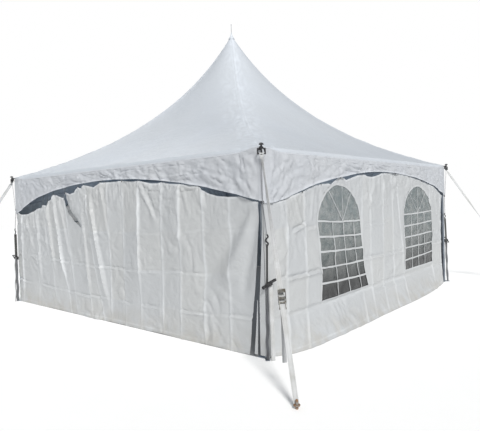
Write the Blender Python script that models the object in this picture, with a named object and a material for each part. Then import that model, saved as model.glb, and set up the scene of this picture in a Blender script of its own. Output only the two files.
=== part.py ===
"""A square high-peak frame tent with hung walls, arched windows and strap guys.

Metres, +Z up. The origin is on the ground at the middle of the tent. The front
wall faces -Y, the right wall faces +X, and what repeats at the four corners or
on the four sides is made once for the front and turned about Z.
"""
import math

import bmesh
import bpy
from mathutils import Matrix, Vector

# Driving dimensions
SIDE = 6.10                 # twenty feet, outside the valances
EAVE = 2.40                 # top edge of the valance
PEAK = 5.10                 # where the roof's lines meet
CLOTH = 0.005               # thickness of each sheet of vinyl
GAP = 0.0003                # left between pieces that touch
HALF = SIDE / 2
DIAGONAL = HALF * math.sqrt(2)

# Roof: a hollow curve on the hips, square at the eave and round at the peak
HIP_SAG = 1.52
SQUARENESS = 0.5
ROOF_DROP = 0.006           # thickness of the roof sheet, measured upright
ROOF_RINGS = 16
ROOF_SPOKES = 40
PEAK_HOLE = 0.045

# Valance: a hanging border with an arched lower edge
VALANCE_CORNER = 1.785
VALANCE_MIDDLE = 2.187
VALANCE_STEPS = 24
VALANCE_NOTCH = 0.020
VALANCE_NOTCH_FADE = 0.030  # the notch's slanted end is this far from the corner
VALANCE_NOTCH_Z = 2.360

# Walls, hooked behind the lower edge of the valance
WALL_LAP = 0.030
WALL_FOOT = 0.004
WALL_HALF_TOP = 2.995
WALL_HALF_FOOT = 2.930
WALL_STEPS = 32
WALL_SLIP = 0.240           # how far the loose stretch of the front wall has slipped
SLIP_FROM = -3.06
SLIP_TO = -0.35
FLARE = 0.21                # how far the feet of the side walls stand out
FLARE_KNEE = 0.40           # the fold that they bend at
FLARE_POWERS = (12, 2.6)    # how soon the flare is full from each end

# Arched windows in the side walls
WINDOW_WIDTH = 1.26
WINDOW_SILL = 0.44
WINDOW_SPRING = 1.46
WINDOW_TOP = 1.97
WINDOW_CENTRES = (-1.265, 1.60)
ARCH_STEPS = 18
CUT_PAST = 0.015            # how far a window's cutter passes the wall on the inside
PANE = 0.003

# Frame of round tube
TUBE = 0.0254
TUBE_WALL = 0.003
BORE = TUBE - TUBE_WALL
SPIGOT = BORE - GAP
SPIGOT_LENGTH = 0.12
ELBOW = 0.05
TUBE_SIDES = 16
ROUND_SIDES = 12
PIN_SIDES = 8
PIN_FLAT = math.cos(math.pi / PIN_SIDES)    # a pin's flat side, as a fraction of its radius
FRAME = HALF - 2 * (CLOTH + GAP) - TUBE
RAIL_Z = 2.3785
FOOT_PLATE = 0.008
FOOT_INNER = 2.905
FOOT_OUTER = 3.039
LUG_REACH = DIAGONAL + 0.055
LUG_WIDTH = 0.05
LUG_LOW = 0.001             # the lug clears the ground by this much

# Corner fittings: a hook on an arm that passes through the notches of the valances
HOOK_OUT = 0.050            # from the roof's corner to the bar that takes the guy
HOOK_Z = 2.315
HOOK_ROD = 0.007
STEM = 0.010
STEM_LOW = 0.012            # how far the stem passes below the bar
STEM_TOP = 2.418
DOME = ((0.012, 2.408), (0.030, 2.412), (0.026, 2.424), (0.012, 2.434))
BAR_HALF = 0.050
PRONG = 0.008
PRONG_AT = 0.042
PRONG_LOW = 0.010
PRONG_HIGH = 0.060
EYE_WIDTH = 0.016
EYE_HEIGHT = 0.034

# Mast on two crossed cables
MAST_FOOT_Z = 2.235
HUB = 0.075
HUB_HEIGHT = 0.016
HUB_PLUG = 0.05
CABLE = 0.006
CABLE_EYE = 0.075
NECK = PEAK_HOLE - 0.006
MAST_BORE = 0.010           # the hole through the mast's solid head
RING_FLAT = 1.1             # allows for the flats between the roof's spokes
SHOULDER = 0.060
SHOULDER_RIM = 0.030
SHOULDER_GAP = 0.0008
NECK_GAP = 0.003
HEAD_FROM = 4.90            # the solid head of the mast begins here
HEAD_OVER = 0.002           # how far the head stands above the edge of the hole
CAP = ((0.056, 0), (0.052, 0.012), (0.030, 0.040), (0.014, 0.080), (0.009, 0.12))
SPIKE = 0.004
SPIKE_TOP = 5.32

# Webbing, guys and stakes
WEB = 0.050
WEB_THICK = 0.004
STAKE_NEAR = (4.046, -3.930)
STAKE_REACH = (4.250, -4.200)
STAKE = 0.0125
STAKE_HEIGHT = 0.085
STAKE_SEAT = 0.040
STAKE_TIP = 0.008
COLLAR = 0.030
COLLAR_HEIGHT = 0.010
STRAP_STEPS = 14
GUY_RATCHET_AT = 0.655      # fraction of the guy's length, from the top
GUY_TAIL = 0.50
GUY_TAIL_SWAY = 0.012
TWIST = math.radians(70)
TWIST_END = 0.60
TIE_ROPE = 0.006
LEAD = 0.004                # thin line from the hook's stem down to the tie's ring
LEAD_OUT = 0.0055           # where it passes the corner of the valance
TIE_RING = 0.008
TIE_RING_HALF = 0.020
TIE_TOP = VALANCE_CORNER - TIE_RING * PIN_FLAT - GAP
TIE_BUCKLE_Z = 1.350
TIE_BUCKLE = (0.130, 0.032, 0.014)
TIE_RATCHET_Z = 0.840
TIE_SLANT = math.radians(24)
TIE_TURN_Z = (0.58, 0.76)   # the webbing turns from flat to edge on between these heights
TIE_END_Z = 0.020
TIE_FOOT = FOOT_PLATE + GAP
TIE_ROUTE = (               # height, distance out from the roof's corner, distance aside
    (TIE_TOP, -0.003, 0.0),
    (TIE_BUCKLE_Z, 0.016, 0.035),
    (TIE_RATCHET_Z, 0.024, 0.020),
    (TIE_END_Z, 0.035, 0.0),
    (TIE_FOOT, 0.035, 0.0),
)
TIE_LEVELS = (1.20, 1.00, TIE_RATCHET_Z, 0.76, 0.70, 0.64, 0.58, 0.30, TIE_END_Z, TIE_FOOT)
TIE_TAIL_SWAY = 0.022
TAIL_WIDTH = 0.045
TAIL_THICK = 0.003
TAIL_WAVES = 2.5            # half waves along a hanging end
TAIL_FOOT = 0.004
RATCHET_LENGTH = 0.13
RATCHET_PLATE = 0.004
RATCHET_PLATE_HEIGHT = 0.036
RATCHET_HALF = WEB / 2 + RATCHET_PLATE
RATCHET_PIN = 0.008
RATCHET_SPREAD = 0.050
RATCHET_LIFT = WEB_THICK / 2 + GAP + RATCHET_PIN
LEVER = (0.125, WEB + 0.006, 0.006)
LEVER_AT = 0.060
LEVER_ANGLE = math.radians(20)

# The four corners, each a quarter turn on from the one before
EIGHTHS = 8
CORNERS = ("front_right", "back_right", "back_left", "front_left")
SIDES = ("front", "right", "back", "left")
QUARTER = math.radians(90)
OUT = Vector((1, -1, 0)).normalized()
ASIDE = Vector((1, 1, 0)).normalized()
UP = Vector((0, 0, 1))


def clear_scene():
    for thing in list(bpy.data.objects):
        bpy.data.objects.remove(thing, do_unlink=True)


def make_material(name, colour, roughness, metallic=0.0):
    material = bpy.data.materials.new(name)
    material.use_nodes = True
    shader = material.node_tree.nodes["Principled BSDF"]
    shader.inputs["Base Color"].default_value = (*colour, 1.0)
    shader.inputs["Roughness"].default_value = roughness
    shader.inputs["Metallic"].default_value = metallic
    return material


# Shapes as meshes

def mesh_of(bm, name):
    """Turn a bmesh into a mesh whose faces point out."""
    bmesh.ops.recalc_face_normals(bm, faces=bm.faces)
    mesh = bpy.data.meshes.new(name)
    bm.to_mesh(mesh)
    bm.free()
    return mesh


def loft(rings, closed=False):
    """Join equal rings of points into one skin, with flat ends unless it closes on itself."""
    bm = bmesh.new()
    loops = [[bm.verts.new(point) for point in ring] for ring in rings]
    count = len(rings[0])
    pairs = list(zip(loops, loops[1:]))
    if closed:
        pairs.append((loops[-1], loops[0]))
    for low, high in pairs:
        for i in range(count):
            j = (i + 1) % count
            bm.faces.new((low[i], low[j], high[j], high[i]))
    if not closed:
        bm.faces.new(list(reversed(loops[0])))
        bm.faces.new(loops[-1])
    return bm


def sheet_body(front, back, ring=False):
    """A closed body between two equal grids of points, split along the same diagonals on both.

    With ring, each row closes on itself, and the diagonals are mirrored in each eighth of the turn.
    """
    bm = bmesh.new()
    grids = [[[bm.verts.new(point) for point in row] for row in grid] for grid in (front, back)]
    rows = len(front)
    columns = len(front[0])
    spans = columns if ring else columns - 1
    for grid in grids:
        for low, high in zip(grid, grid[1:]):
            for i in range(spans):
                j = (i + 1) % columns
                if ring and (i * EIGHTHS // columns) % 2:
                    bm.faces.new((low[j], high[j], high[i]))
                    bm.faces.new((low[j], high[i], low[i]))
                else:
                    bm.faces.new((low[i], low[j], high[j]))
                    bm.faces.new((low[i], high[j], high[i]))
    one, other = grids
    for row in (0, rows - 1):
        for i in range(spans):
            j = (i + 1) % columns
            bm.faces.new((one[row][i], one[row][j], other[row][j], other[row][i]))
    if not ring:
        for column in (0, columns - 1):
            for i in range(rows - 1):
                bm.faces.new((one[i][column], one[i + 1][column],
                              other[i + 1][column], other[i][column]))
    return bm


def circle(centre, along, radius, sides):
    turn = along.to_track_quat("Z", "Y")
    points = []
    for i in range(sides):
        angle = 2 * math.pi * (i + 0.5) / sides
        points.append(centre + turn @ Vector((radius * math.cos(angle), radius * math.sin(angle), 0)))
    return points


def rod(start, end, radius, sides=PIN_SIDES):
    along = end - start
    return mesh_of(loft([circle(p, along, radius, sides) for p in (start, end)]), "rod")


def pipe(start, end, outer, inner, sides=TUBE_SIDES):
    along = end - start
    rings = [circle(start, along, outer, sides), circle(end, along, outer, sides),
             circle(end, along, inner, sides), circle(start, along, inner, sides)]
    return mesh_of(loft(rings, closed=True), "pipe")


def turned(profile, sides):
    """Turn a list of (radius, height) about Z."""
    rings = [circle(Vector((0, 0, z)), UP, r, sides) for r, z in profile]
    return mesh_of(loft(rings), "turned")


def turned_at(spot, profile, sides):
    mesh = turned(profile, sides)
    mesh.transform(Matrix.Translation(spot))
    return mesh


def block(centre, along, across, size):
    """A box with its length, width and height along three directions at right angles."""
    upright = along.cross(across)
    corners = [(-1, -1), (1, -1), (1, 1), (-1, 1)]
    rings = []
    for end in (-0.5, 0.5):
        base = centre + along * (size[0] * end)
        ring = [base + across * (size[1] / 2 * a) + upright * (size[2] / 2 * b) for a, b in corners]
        rings.append(ring)
    return mesh_of(loft(rings), "block")


def ribbon(path, widths, width, thickness):
    """A flat strap along a path; widths are the directions of its width at each point."""
    front = []
    back = []
    for i, point in enumerate(path):
        ahead = path[min(i + 1, len(path) - 1)] - path[max(i - 1, 0)]
        side = (widths[i] - ahead * widths[i].dot(ahead) / ahead.length_squared).normalized()
        half_side = side * (width / 2)
        half_face = ahead.normalized().cross(side) * (thickness / 2)
        front.append([point - half_side + half_face, point + half_side + half_face])
        back.append([point - half_side - half_face, point + half_side - half_face])
    return mesh_of(sheet_body(front, back), "ribbon")


def upright_slab(stations, low, high, outer, inner):
    """A sheet that stands on the front, from columns at each station along X."""
    rings = []
    for s in stations:
        rings.append([Vector((s, -outer, low(s))), Vector((s, -inner, low(s))),
                      Vector((s, -inner, high(s))), Vector((s, -outer, high(s)))])
    return mesh_of(loft(rings), "sheet")


# Objects

def place(name, mesh, material, quarter_turns=0):
    thing = bpy.data.objects.new(name, mesh)
    bpy.context.scene.collection.objects.link(thing)
    thing.rotation_euler.z = quarter_turns * QUARTER
    if not mesh.materials:
        mesh.materials.append(material)
    return thing


def helper(mesh, name):
    """An object that only cuts or joins another one."""
    thing = bpy.data.objects.new(name, mesh)
    bpy.context.scene.collection.objects.link(thing)
    thing.hide_render = True
    thing.display_type = "WIRE"
    return thing


def combined(meshes, operation="UNION"):
    """One mesh from the first one, joined with or cut by the others."""
    parts = [helper(mesh, "shaping") for mesh in meshes]
    for part in parts[1:]:
        step = parts[0].modifiers.new("shape", "BOOLEAN")
        step.operation = operation
        step.solver = "EXACT"
        step.object = part
    graph = bpy.context.evaluated_depsgraph_get()
    result = bpy.data.meshes.new_from_object(parts[0].evaluated_get(graph))
    for part in parts:
        bpy.data.objects.remove(part, do_unlink=True)
    return result


def at_corners(name, mesh, material):
    """The same piece at each corner."""
    for turns, corner in enumerate(CORNERS):
        place(f"{name}_{corner}", mesh, material, turns)


def on_sides(name, mesh, material):
    """The same piece on each side."""
    for turns, side in enumerate(SIDES):
        place(f"{name}_{side}", mesh, material, turns)


# Roof

def roof_height(t):
    """Height of the roof at a fraction t of the way from the peak to the eave."""
    return EAVE + (PEAK - EAVE) * (1 - t) / (1 + HIP_SAG * t)


def roof_point(t, angle, drop):
    """A point of the roof: the rings turn from square at the eave to round at the peak."""
    corner_ratio = math.sqrt(2) * max(abs(math.cos(angle)), abs(math.sin(angle)))
    radius = t * DIAGONAL / (1 + t ** SQUARENESS * (corner_ratio - 1))
    return Vector((radius * math.cos(angle), radius * math.sin(angle), roof_height(t) - drop))


def roof_canopy():
    """The roof: one closed sheet with a hole at the peak for the mast's head."""
    first = PEAK_HOLE / DIAGONAL
    steps = [first * (1 / first) ** (i / (ROOF_RINGS - 1)) for i in range(ROOF_RINGS)]
    angles = [math.radians(45) + 2 * math.pi * i / ROOF_SPOKES for i in range(ROOF_SPOKES)]
    outside = [[roof_point(t, a, 0) for a in angles] for t in steps]
    inside = [[roof_point(t, a, ROOF_DROP) for a in angles] for t in steps]
    return mesh_of(sheet_body(outside, inside, ring=True), "roof")


# Valances and walls

def valance_low(s):
    return VALANCE_MIDDLE - (VALANCE_MIDDLE - VALANCE_CORNER) * (s / HALF) ** 2


def valance_high(s):
    notched = abs(s) > HALF - (VALANCE_NOTCH + VALANCE_NOTCH_FADE) / 2
    return VALANCE_NOTCH_Z if notched else EAVE - ROOF_DROP - GAP


def valance(reach):
    """One side's border; the notches at its top corners let the guy hooks through."""
    inner = HALF - VALANCE_NOTCH_FADE
    middle = [-inner + 2 * inner * i / VALANCE_STEPS for i in range(VALANCE_STEPS + 1)]
    edge = HALF - VALANCE_NOTCH
    stations = [-reach, -edge] + middle + [edge, reach]
    return upright_slab(stations, valance_low, valance_high, HALF, HALF - CLOTH)


def slip(s):
    """How far the wall's top edge has come down at s: steeply by the corner, then easing off."""
    if not SLIP_FROM < s < SLIP_TO:
        return 0.0
    share = (s - SLIP_FROM) / (SLIP_TO - SLIP_FROM)
    return math.sin(math.pi * math.sqrt(share))


def flare(share):
    """How far a side wall's foot stands out, at a share from -1 to 1 of its width."""
    return FLARE * (1 - abs(share) ** FLARE_POWERS[0 if share < 0 else 1])


def wall(slipped=0, flared=0):
    """One hung wall. Its lower corners draw in a little from the legs."""
    outer = HALF - CLOTH - GAP
    rows = [[], [], []]
    for i in range(WALL_STEPS + 1):
        share = -1 + 2 * i / WALL_STEPS
        top = share * WALL_HALF_TOP
        foot = share * WALL_HALF_FOOT
        head = valance_low(top) + WALL_LAP - WALL_SLIP * slipped * slip(top)
        knee = foot + (top - foot) * (FLARE_KNEE - WALL_FOOT) / (head - WALL_FOOT)
        rows[0].append(Vector((foot, -outer - flared * flare(share), WALL_FOOT)))
        rows[1].append(Vector((knee, -outer, FLARE_KNEE)))
        rows[2].append(Vector((top, -outer, head)))
    inner = [[point + Vector((0, CLOTH, 0)) for point in row] for row in rows]
    return mesh_of(sheet_body(rows, inner), "wall")


def window_outline(centre, shrink):
    """The arched outline of one window, drawn in by shrink all round."""
    half = WINDOW_WIDTH / 2 - shrink
    rise = WINDOW_TOP - WINDOW_SPRING - shrink
    points = [(centre - half, WINDOW_SILL + shrink), (centre + half, WINDOW_SILL + shrink)]
    for i in range(ARCH_STEPS + 1):
        angle = math.pi * i / ARCH_STEPS
        points.append((centre + half * math.cos(angle), WINDOW_SPRING + rise * math.sin(angle)))
    return points


def window_prism(centre, shrink, outer, inner):
    outline = window_outline(centre, shrink)
    rings = [[Vector((s, -depth, z)) for s, z in outline] for depth in (outer, inner)]
    return mesh_of(loft(rings), "window")


def windowed_wall():
    cuts = [window_prism(c, 0, HALF + CLOTH, HALF - CLOTH - CUT_PAST) for c in WINDOW_CENTRES]
    return combined([wall(flared=1)] + cuts, "DIFFERENCE")


# Frame

def leg():
    """A corner leg with its foot plate and the lug that takes the corner tie."""
    stand = Vector((FRAME, -FRAME, 0))
    tube = pipe(stand + UP * (FOOT_PLATE / 2), stand + UP * (RAIL_Z - ELBOW - GAP), TUBE, BORE)
    middle = (FOOT_INNER + FOOT_OUTER) / 2
    size = FOOT_OUTER - FOOT_INNER
    plate = block(Vector((middle, -middle, FOOT_PLATE / 2)), Vector((1, 0, 0)), Vector((0, 1, 0)),
                  (size, size, FOOT_PLATE))
    lug_start = OUT * (middle * math.sqrt(2))
    lug_end = OUT * LUG_REACH
    lug_middle = (lug_start + lug_end) / 2 + UP * ((FOOT_PLATE + LUG_LOW) / 2)
    lug = block(lug_middle, OUT, ASIDE,
                ((lug_end - lug_start).length, LUG_WIDTH, FOOT_PLATE - LUG_LOW))
    return combined([plate, tube, lug])


def corner_fitting():
    """The three-way elbow, its spigots, the cable's eye and the hook outside the roof."""
    centre = Vector((FRAME, -FRAME, RAIL_Z))
    pieces = []
    for arm in (Vector((-1, 0, 0)), Vector((0, 1, 0)), Vector((0, 0, -1))):
        end = centre + arm * (ELBOW + SPIGOT_LENGTH)
        pieces.append(rod(centre, centre + arm * ELBOW, TUBE, TUBE_SIDES))
        pieces.append(rod(centre + arm * ELBOW / 2, end, SPIGOT, TUBE_SIDES))
    inward = centre - OUT * (CABLE_EYE / 2)
    pieces.append(block(inward, OUT, ASIDE, (CABLE_EYE, EYE_WIDTH, EYE_HEIGHT)))
    hook = OUT * (DIAGONAL + HOOK_OUT)
    level = UP * HOOK_Z
    bar = ASIDE * BAR_HALF
    pieces.append(rod(centre, hook + UP * RAIL_Z, HOOK_ROD))
    pieces.append(rod(hook + level - UP * STEM_LOW, hook + UP * STEM_TOP, STEM))
    pieces.append(turned_at(hook, DOME, ROUND_SIDES))
    pieces.append(rod(hook - bar + level, hook + bar + level, HOOK_ROD))
    for end in (-PRONG_AT, PRONG_AT):
        prong = hook + ASIDE * end + level
        pieces.append(rod(prong - UP * PRONG_LOW, prong + UP * PRONG_HIGH, PRONG))
    return combined(pieces)


def eave_rail():
    reach = FRAME - ELBOW - GAP
    return pipe(Vector((-reach, -FRAME, RAIL_Z)), Vector((reach, -FRAME, RAIL_Z)), TUBE, BORE)


def under_peak(radius):
    """The lowest underside of the roof at this distance from the peak."""
    t = radius / DIAGONAL
    t *= 1 + t ** SQUARENESS * (math.sqrt(2) - 1) * RING_FLAT
    return roof_height(t) - ROOF_DROP


def mast():
    """The king pole, with a cone at its head that carries the roof."""
    foot = MAST_FOOT_Z + HUB_HEIGHT / 2 + GAP
    head = roof_height(PEAK_HOLE / DIAGONAL) + HEAD_OVER
    shoulder = under_peak(SHOULDER) - SHOULDER_GAP
    profile = [(BORE, foot), (TUBE, foot), (TUBE, HEAD_FROM), (SHOULDER, shoulder - SHOULDER_RIM),
               (SHOULDER, shoulder), (NECK, under_peak(NECK) - NECK_GAP), (NECK, head),
               (MAST_BORE, head), (MAST_BORE, HEAD_FROM), (BORE, HEAD_FROM - MAST_BORE)]
    rings = [circle(Vector((0, 0, z)), UP, r, TUBE_SIDES) for r, z in profile]
    return mesh_of(loft(rings, closed=True), "mast")


def cross_cables():
    """The hub under the mast and the four runs of cable that hang it from the corners."""
    hub_low = MAST_FOOT_Z - HUB_HEIGHT / 2
    hub_high = MAST_FOOT_Z + HUB_HEIGHT / 2
    plug = SPIGOT - 2 * GAP
    profile = [(HUB, hub_low), (HUB, hub_high), (plug, hub_high), (plug, hub_high + HUB_PLUG)]
    pieces = [turned(profile, TUBE_SIDES)]
    tip = FRAME * math.sqrt(2) - CABLE_EYE - GAP
    for turns in range(len(CORNERS)):
        out = Matrix.Rotation(turns * QUARTER, 3, "Z") @ OUT
        start = out * (HUB / 2) + UP * MAST_FOOT_Z
        pieces.append(rod(start, out * tip + UP * RAIL_Z, CABLE))
    return combined(pieces)


def peak_cap():
    """The cap over the hole at the peak, with its thin spike."""
    seat = roof_height(PEAK_HOLE / DIAGONAL) + HEAD_OVER + GAP
    profile = [(radius, seat + z) for radius, z in CAP] + [(SPIKE, SPIKE_TOP)]
    return turned(profile, TUBE_SIDES)


# Guys and ties

def guy_ends(stake):
    """Where the guy leaves the hook's bar, and where it meets the stake."""
    hook = OUT * (DIAGONAL + HOOK_OUT) + UP * (HOOK_Z - STEM_LOW - GAP)
    peg = Vector((stake[0], stake[1], 0))
    back = Vector((hook.x - peg.x, hook.y - peg.y, 0)).normalized()
    foot = peg + back * (STAKE + WEB_THICK) + UP * (STAKE_SEAT + GAP + WEB_THICK / 2)
    line = (foot - hook).normalized()
    return hook + line * (WEB_THICK / 2), foot


def guy_strap(stake):
    """Taut webbing from the hook to the stake, turned edge on along its upper half."""
    top, foot = guy_ends(stake)
    line = (foot - top).normalized()
    path = []
    widths = []
    for i in range(STRAP_STEPS + 1):
        share = i / STRAP_STEPS
        angle = TWIST * math.sin(math.pi * min(1.0, share / TWIST_END)) ** 2
        path.append(top.lerp(foot, share))
        widths.append(Matrix.Rotation(-angle, 3, line) @ ASIDE)
    return ribbon(path, widths, WEB, WEB_THICK)


def ratchet(centre, along, across):
    """Two side plates and four bars around a flat strap, with the lever open above it."""
    face = along.cross(across)
    pieces = []
    bars = ((-RATCHET_SPREAD, 1), (0.0, 1), (0.0, -1), (RATCHET_SPREAD, -1))
    reach = across * (RATCHET_HALF + RATCHET_PLATE / 4)
    for shift, side in bars:
        spot = centre + along * shift + face * (side * RATCHET_LIFT)
        pieces.append(rod(spot - reach, spot + reach, RATCHET_PIN))
    for side in (-1, 1):
        spot = centre + across * (side * RATCHET_HALF)
        size = (RATCHET_LENGTH, RATCHET_PLATE, RATCHET_PLATE_HEIGHT)
        pieces.append(block(spot, along, across, size))
    slope = face * math.sin(LEVER_ANGLE) - along * math.cos(LEVER_ANGLE)
    lever = centre + face * (RATCHET_LIFT + RATCHET_PIN / 2) + slope * LEVER_AT
    pieces.append(block(lever, slope, across, LEVER))
    return combined(pieces)


def guy_ratchet_place(stake):
    """The ratchet's centre on the guy, and the directions along and across the strap there."""
    top, foot = guy_ends(stake)
    along = (foot - top).normalized()
    across = (ASIDE - along * ASIDE.dot(along)).normalized()
    return top.lerp(foot, GUY_RATCHET_AT), along, across


def stake_head(stake):
    """The part of a steel stake above the ground, with the collar that the strap meets."""
    collar = STAKE_SEAT - COLLAR_HEIGHT
    profile = [(STAKE, 0), (STAKE, collar - GAP), (COLLAR, collar), (COLLAR, STAKE_SEAT),
               (STAKE, STAKE_SEAT), (STAKE, STAKE_HEIGHT - STAKE_TIP), (STAKE_TIP, STAKE_HEIGHT)]
    return turned_at(Vector((stake[0], stake[1], 0)), profile, ROUND_SIDES)


def tie_point(z):
    """A point of the corner tie, from under the valance's corner to the lug on the leg's foot."""
    for (high, out_high, side_high), (low, out_low, side_low) in zip(TIE_ROUTE, TIE_ROUTE[1:]):
        if z >= low:
            share = (high - z) / (high - low)
            out = out_high + share * (out_low - out_high)
            side = side_high + share * (side_low - side_high)
            return OUT * (DIAGONAL + out) + ASIDE * side + UP * z
    raise ValueError("below the foot of the tie")


def tie_lead():
    """The thin line from under the hook's stem, past the valance's corner, to the ring."""
    high = HOOK_Z - STEM_LOW - GAP
    beside_guy = DIAGONAL + HOOK_OUT - WEB_THICK / 2 - GAP - LEAD
    return rod(OUT * beside_guy + UP * high, OUT * (DIAGONAL + LEAD_OUT) + UP * TIE_TOP, LEAD)


def corner_tie():
    """Line, ring and rope at the valance's corner, a hook buckle, and webbing with its ratchet."""
    top = tie_point(TIE_TOP)
    buckle_at = tie_point(TIE_BUCKLE_Z)
    half_buckle = TIE_BUCKLE[0] / 2
    ring = rod(top - ASIDE * TIE_RING_HALF, top + ASIDE * TIE_RING_HALF, TIE_RING)
    rope = rod(top, buckle_at + UP * (half_buckle / 2), TIE_ROPE)
    buckle = block(buckle_at, UP, ASIDE, TIE_BUCKLE)
    path = [tie_point(z) for z in (TIE_BUCKLE_Z - half_buckle / 2,) + TIE_LEVELS]
    widths = []
    for point in path:
        share = (point.z - TIE_TURN_Z[0]) / (TIE_TURN_Z[1] - TIE_TURN_Z[0])
        turn = Matrix.Rotation(-QUARTER * min(1.0, max(0.0, share)), 3, "Z")
        widths.append(turn @ ASIDE)
    strap = ribbon(path, widths, WEB, WEB_THICK)
    return combined([strap, rope, buckle, ring, tie_lead(), ratchet(*tie_ratchet_place())])


def tie_ratchet_place():
    """The slanted ratchet on the corner tie: its centre and its directions."""
    along = -(ASIDE * math.cos(TIE_SLANT) + UP * math.sin(TIE_SLANT))
    return tie_point(TIE_RATCHET_Z), along, OUT


def tail(start, drop, sway, across):
    """A loose end of webbing that hangs from start in soft waves, away from the tent."""
    path = []
    for i in range(STRAP_STEPS + 1):
        share = i / STRAP_STEPS
        wave = sway * (share + math.sin(share * TAIL_WAVES * math.pi) ** 2 / 2)
        path.append(start + OUT * wave - UP * (drop * share))
    return ribbon(path, [across] * len(path), TAIL_WIDTH, TAIL_THICK)


def under_bar(place, end, side):
    """Just under a ratchet's end bar, where a loose end leaves it."""
    centre, along, across = place
    bar = centre + along * (end * RATCHET_SPREAD) + along.cross(across) * (side * RATCHET_LIFT)
    lean = abs(across.z) * TAIL_WIDTH / 2
    return bar - UP * (RATCHET_PIN + GAP + lean)


def tie_tail():
    """The loose end from the corner tie's ratchet down to the ground."""
    start = under_bar(tie_ratchet_place(), -1, 1)
    return tail(start, start.z - TAIL_FOOT, TIE_TAIL_SWAY, ASIDE)


def guy_tail(stake):
    """The loose end that hangs from the lowest bar of the guy's ratchet."""
    place = guy_ratchet_place(stake)
    return tail(under_bar(place, 1, -1), GUY_TAIL, GUY_TAIL_SWAY, place[2])


def main():
    clear_scene()
    vinyl = make_material("white_vinyl", (0.80, 0.81, 0.83), 0.42)
    clear = make_material("clear_vinyl", (0.25, 0.26, 0.26), 0.12)
    alloy = make_material("alloy_tube", (0.70, 0.71, 0.72), 0.35, 1.0)
    steel = make_material("black_steel", (0.03, 0.03, 0.035), 0.45, 0.6)
    wire = make_material("steel_cable", (0.45, 0.46, 0.47), 0.40, 1.0)
    webbing = make_material("white_webbing", (0.78, 0.78, 0.76), 0.75)
    rust = make_material("weathered_steel", (0.24, 0.17, 0.12), 0.80, 0.5)

    place("roof_canopy", roof_canopy(), vinyl)
    lapped = valance(HALF)
    between = valance(HALF - CLOTH - GAP)
    for turns, side in enumerate(SIDES):
        place(f"valance_{side}", (lapped, between)[turns % 2], vinyl, turns)

    cut = windowed_wall()
    place("wall_front", wall(slipped=1), vinyl, 0)
    place("wall_right", cut, vinyl, 1)
    place("wall_back", wall(), vinyl, 2)
    place("wall_left", cut, vinyl, 3)
    outer = HALF - CLOTH - GAP - CLOTH / 2 + PANE / 2
    panes = [window_prism(c, GAP, outer, outer - PANE) for c in WINDOW_CENTRES]
    for turns in (1, 3):
        for number, pane in enumerate(panes):
            place(f"window_{SIDES[turns]}_{number + 1}", pane, clear, turns)

    at_corners("leg", leg(), alloy)
    at_corners("corner_fitting", corner_fitting(), steel)
    on_sides("eave_rail", eave_rail(), alloy)
    place("mast", mast(), alloy)
    place("cross_cables", cross_cables(), wire)
    place("peak_cap", peak_cap(), vinyl)

    at_corners("corner_tie", corner_tie(), steel)
    at_corners("tie_tail", tie_tail(), webbing)
    for turns, corner in enumerate(CORNERS):
        spot = STAKE_NEAR if turns == 0 else STAKE_REACH
        if turns % 2:
            spot = (-spot[1], -spot[0])
        place(f"guy_strap_{corner}", guy_strap(spot), webbing, turns)
        place(f"guy_ratchet_{corner}", ratchet(*guy_ratchet_place(spot)), steel, turns)
        place(f"guy_tail_{corner}", guy_tail(spot), webbing, turns)
        place(f"guy_stake_{corner}", stake_head(spot), rust, turns)


main()
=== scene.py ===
import math

import bpy
import numpy as np
from mathutils import Matrix, Vector


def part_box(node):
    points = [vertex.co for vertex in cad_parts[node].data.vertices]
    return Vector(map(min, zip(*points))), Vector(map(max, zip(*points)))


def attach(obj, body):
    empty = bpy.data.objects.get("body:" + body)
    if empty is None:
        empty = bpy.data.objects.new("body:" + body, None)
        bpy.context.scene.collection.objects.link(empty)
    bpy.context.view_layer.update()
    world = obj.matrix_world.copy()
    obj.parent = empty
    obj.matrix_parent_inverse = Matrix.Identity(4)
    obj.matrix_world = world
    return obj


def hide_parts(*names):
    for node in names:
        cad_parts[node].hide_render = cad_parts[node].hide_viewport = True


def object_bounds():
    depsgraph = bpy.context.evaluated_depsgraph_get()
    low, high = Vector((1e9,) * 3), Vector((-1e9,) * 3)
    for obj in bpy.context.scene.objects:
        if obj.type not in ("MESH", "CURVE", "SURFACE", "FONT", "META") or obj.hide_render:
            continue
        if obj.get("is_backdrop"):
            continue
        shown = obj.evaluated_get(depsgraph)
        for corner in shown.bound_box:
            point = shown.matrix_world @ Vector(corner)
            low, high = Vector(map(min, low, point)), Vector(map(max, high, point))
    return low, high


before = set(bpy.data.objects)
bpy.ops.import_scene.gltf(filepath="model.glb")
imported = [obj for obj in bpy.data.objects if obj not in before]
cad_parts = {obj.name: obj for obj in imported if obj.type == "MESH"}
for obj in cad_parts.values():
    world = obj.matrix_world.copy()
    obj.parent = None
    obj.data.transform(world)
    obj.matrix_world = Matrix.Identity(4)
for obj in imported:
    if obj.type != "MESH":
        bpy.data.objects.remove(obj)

cad_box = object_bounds()

# Sizes of the tent, in metres
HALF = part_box("valance_front")[1].x
DIAGONAL = HALF * math.sqrt(2)
CLOTH = 0.005
GAP = 0.0003
ROOF_DROP = 0.006
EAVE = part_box("roof_canopy")[0].z + ROOF_DROP
PEAK = 5.10
HIP_SAG = 1.52
SQUARENESS = 0.5
PEAK_HOLE = 0.045
VALANCE_MIDDLE = 2.187
VALANCE_CORNER = 1.785
WALL_FACE = HALF - CLOTH - GAP
WALL_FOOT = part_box("wall_front")[0].z
WALL_HALF_TOP = 2.995
WALL_HALF_FOOT = 2.930
FLARE = 0.21
FLARE_KNEE = 0.40
FLARE_POWERS = (12, 2.6)
VINYL = 0.0012              # thickness of the sheets that show
PANE_VINYL = 0.0008

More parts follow.
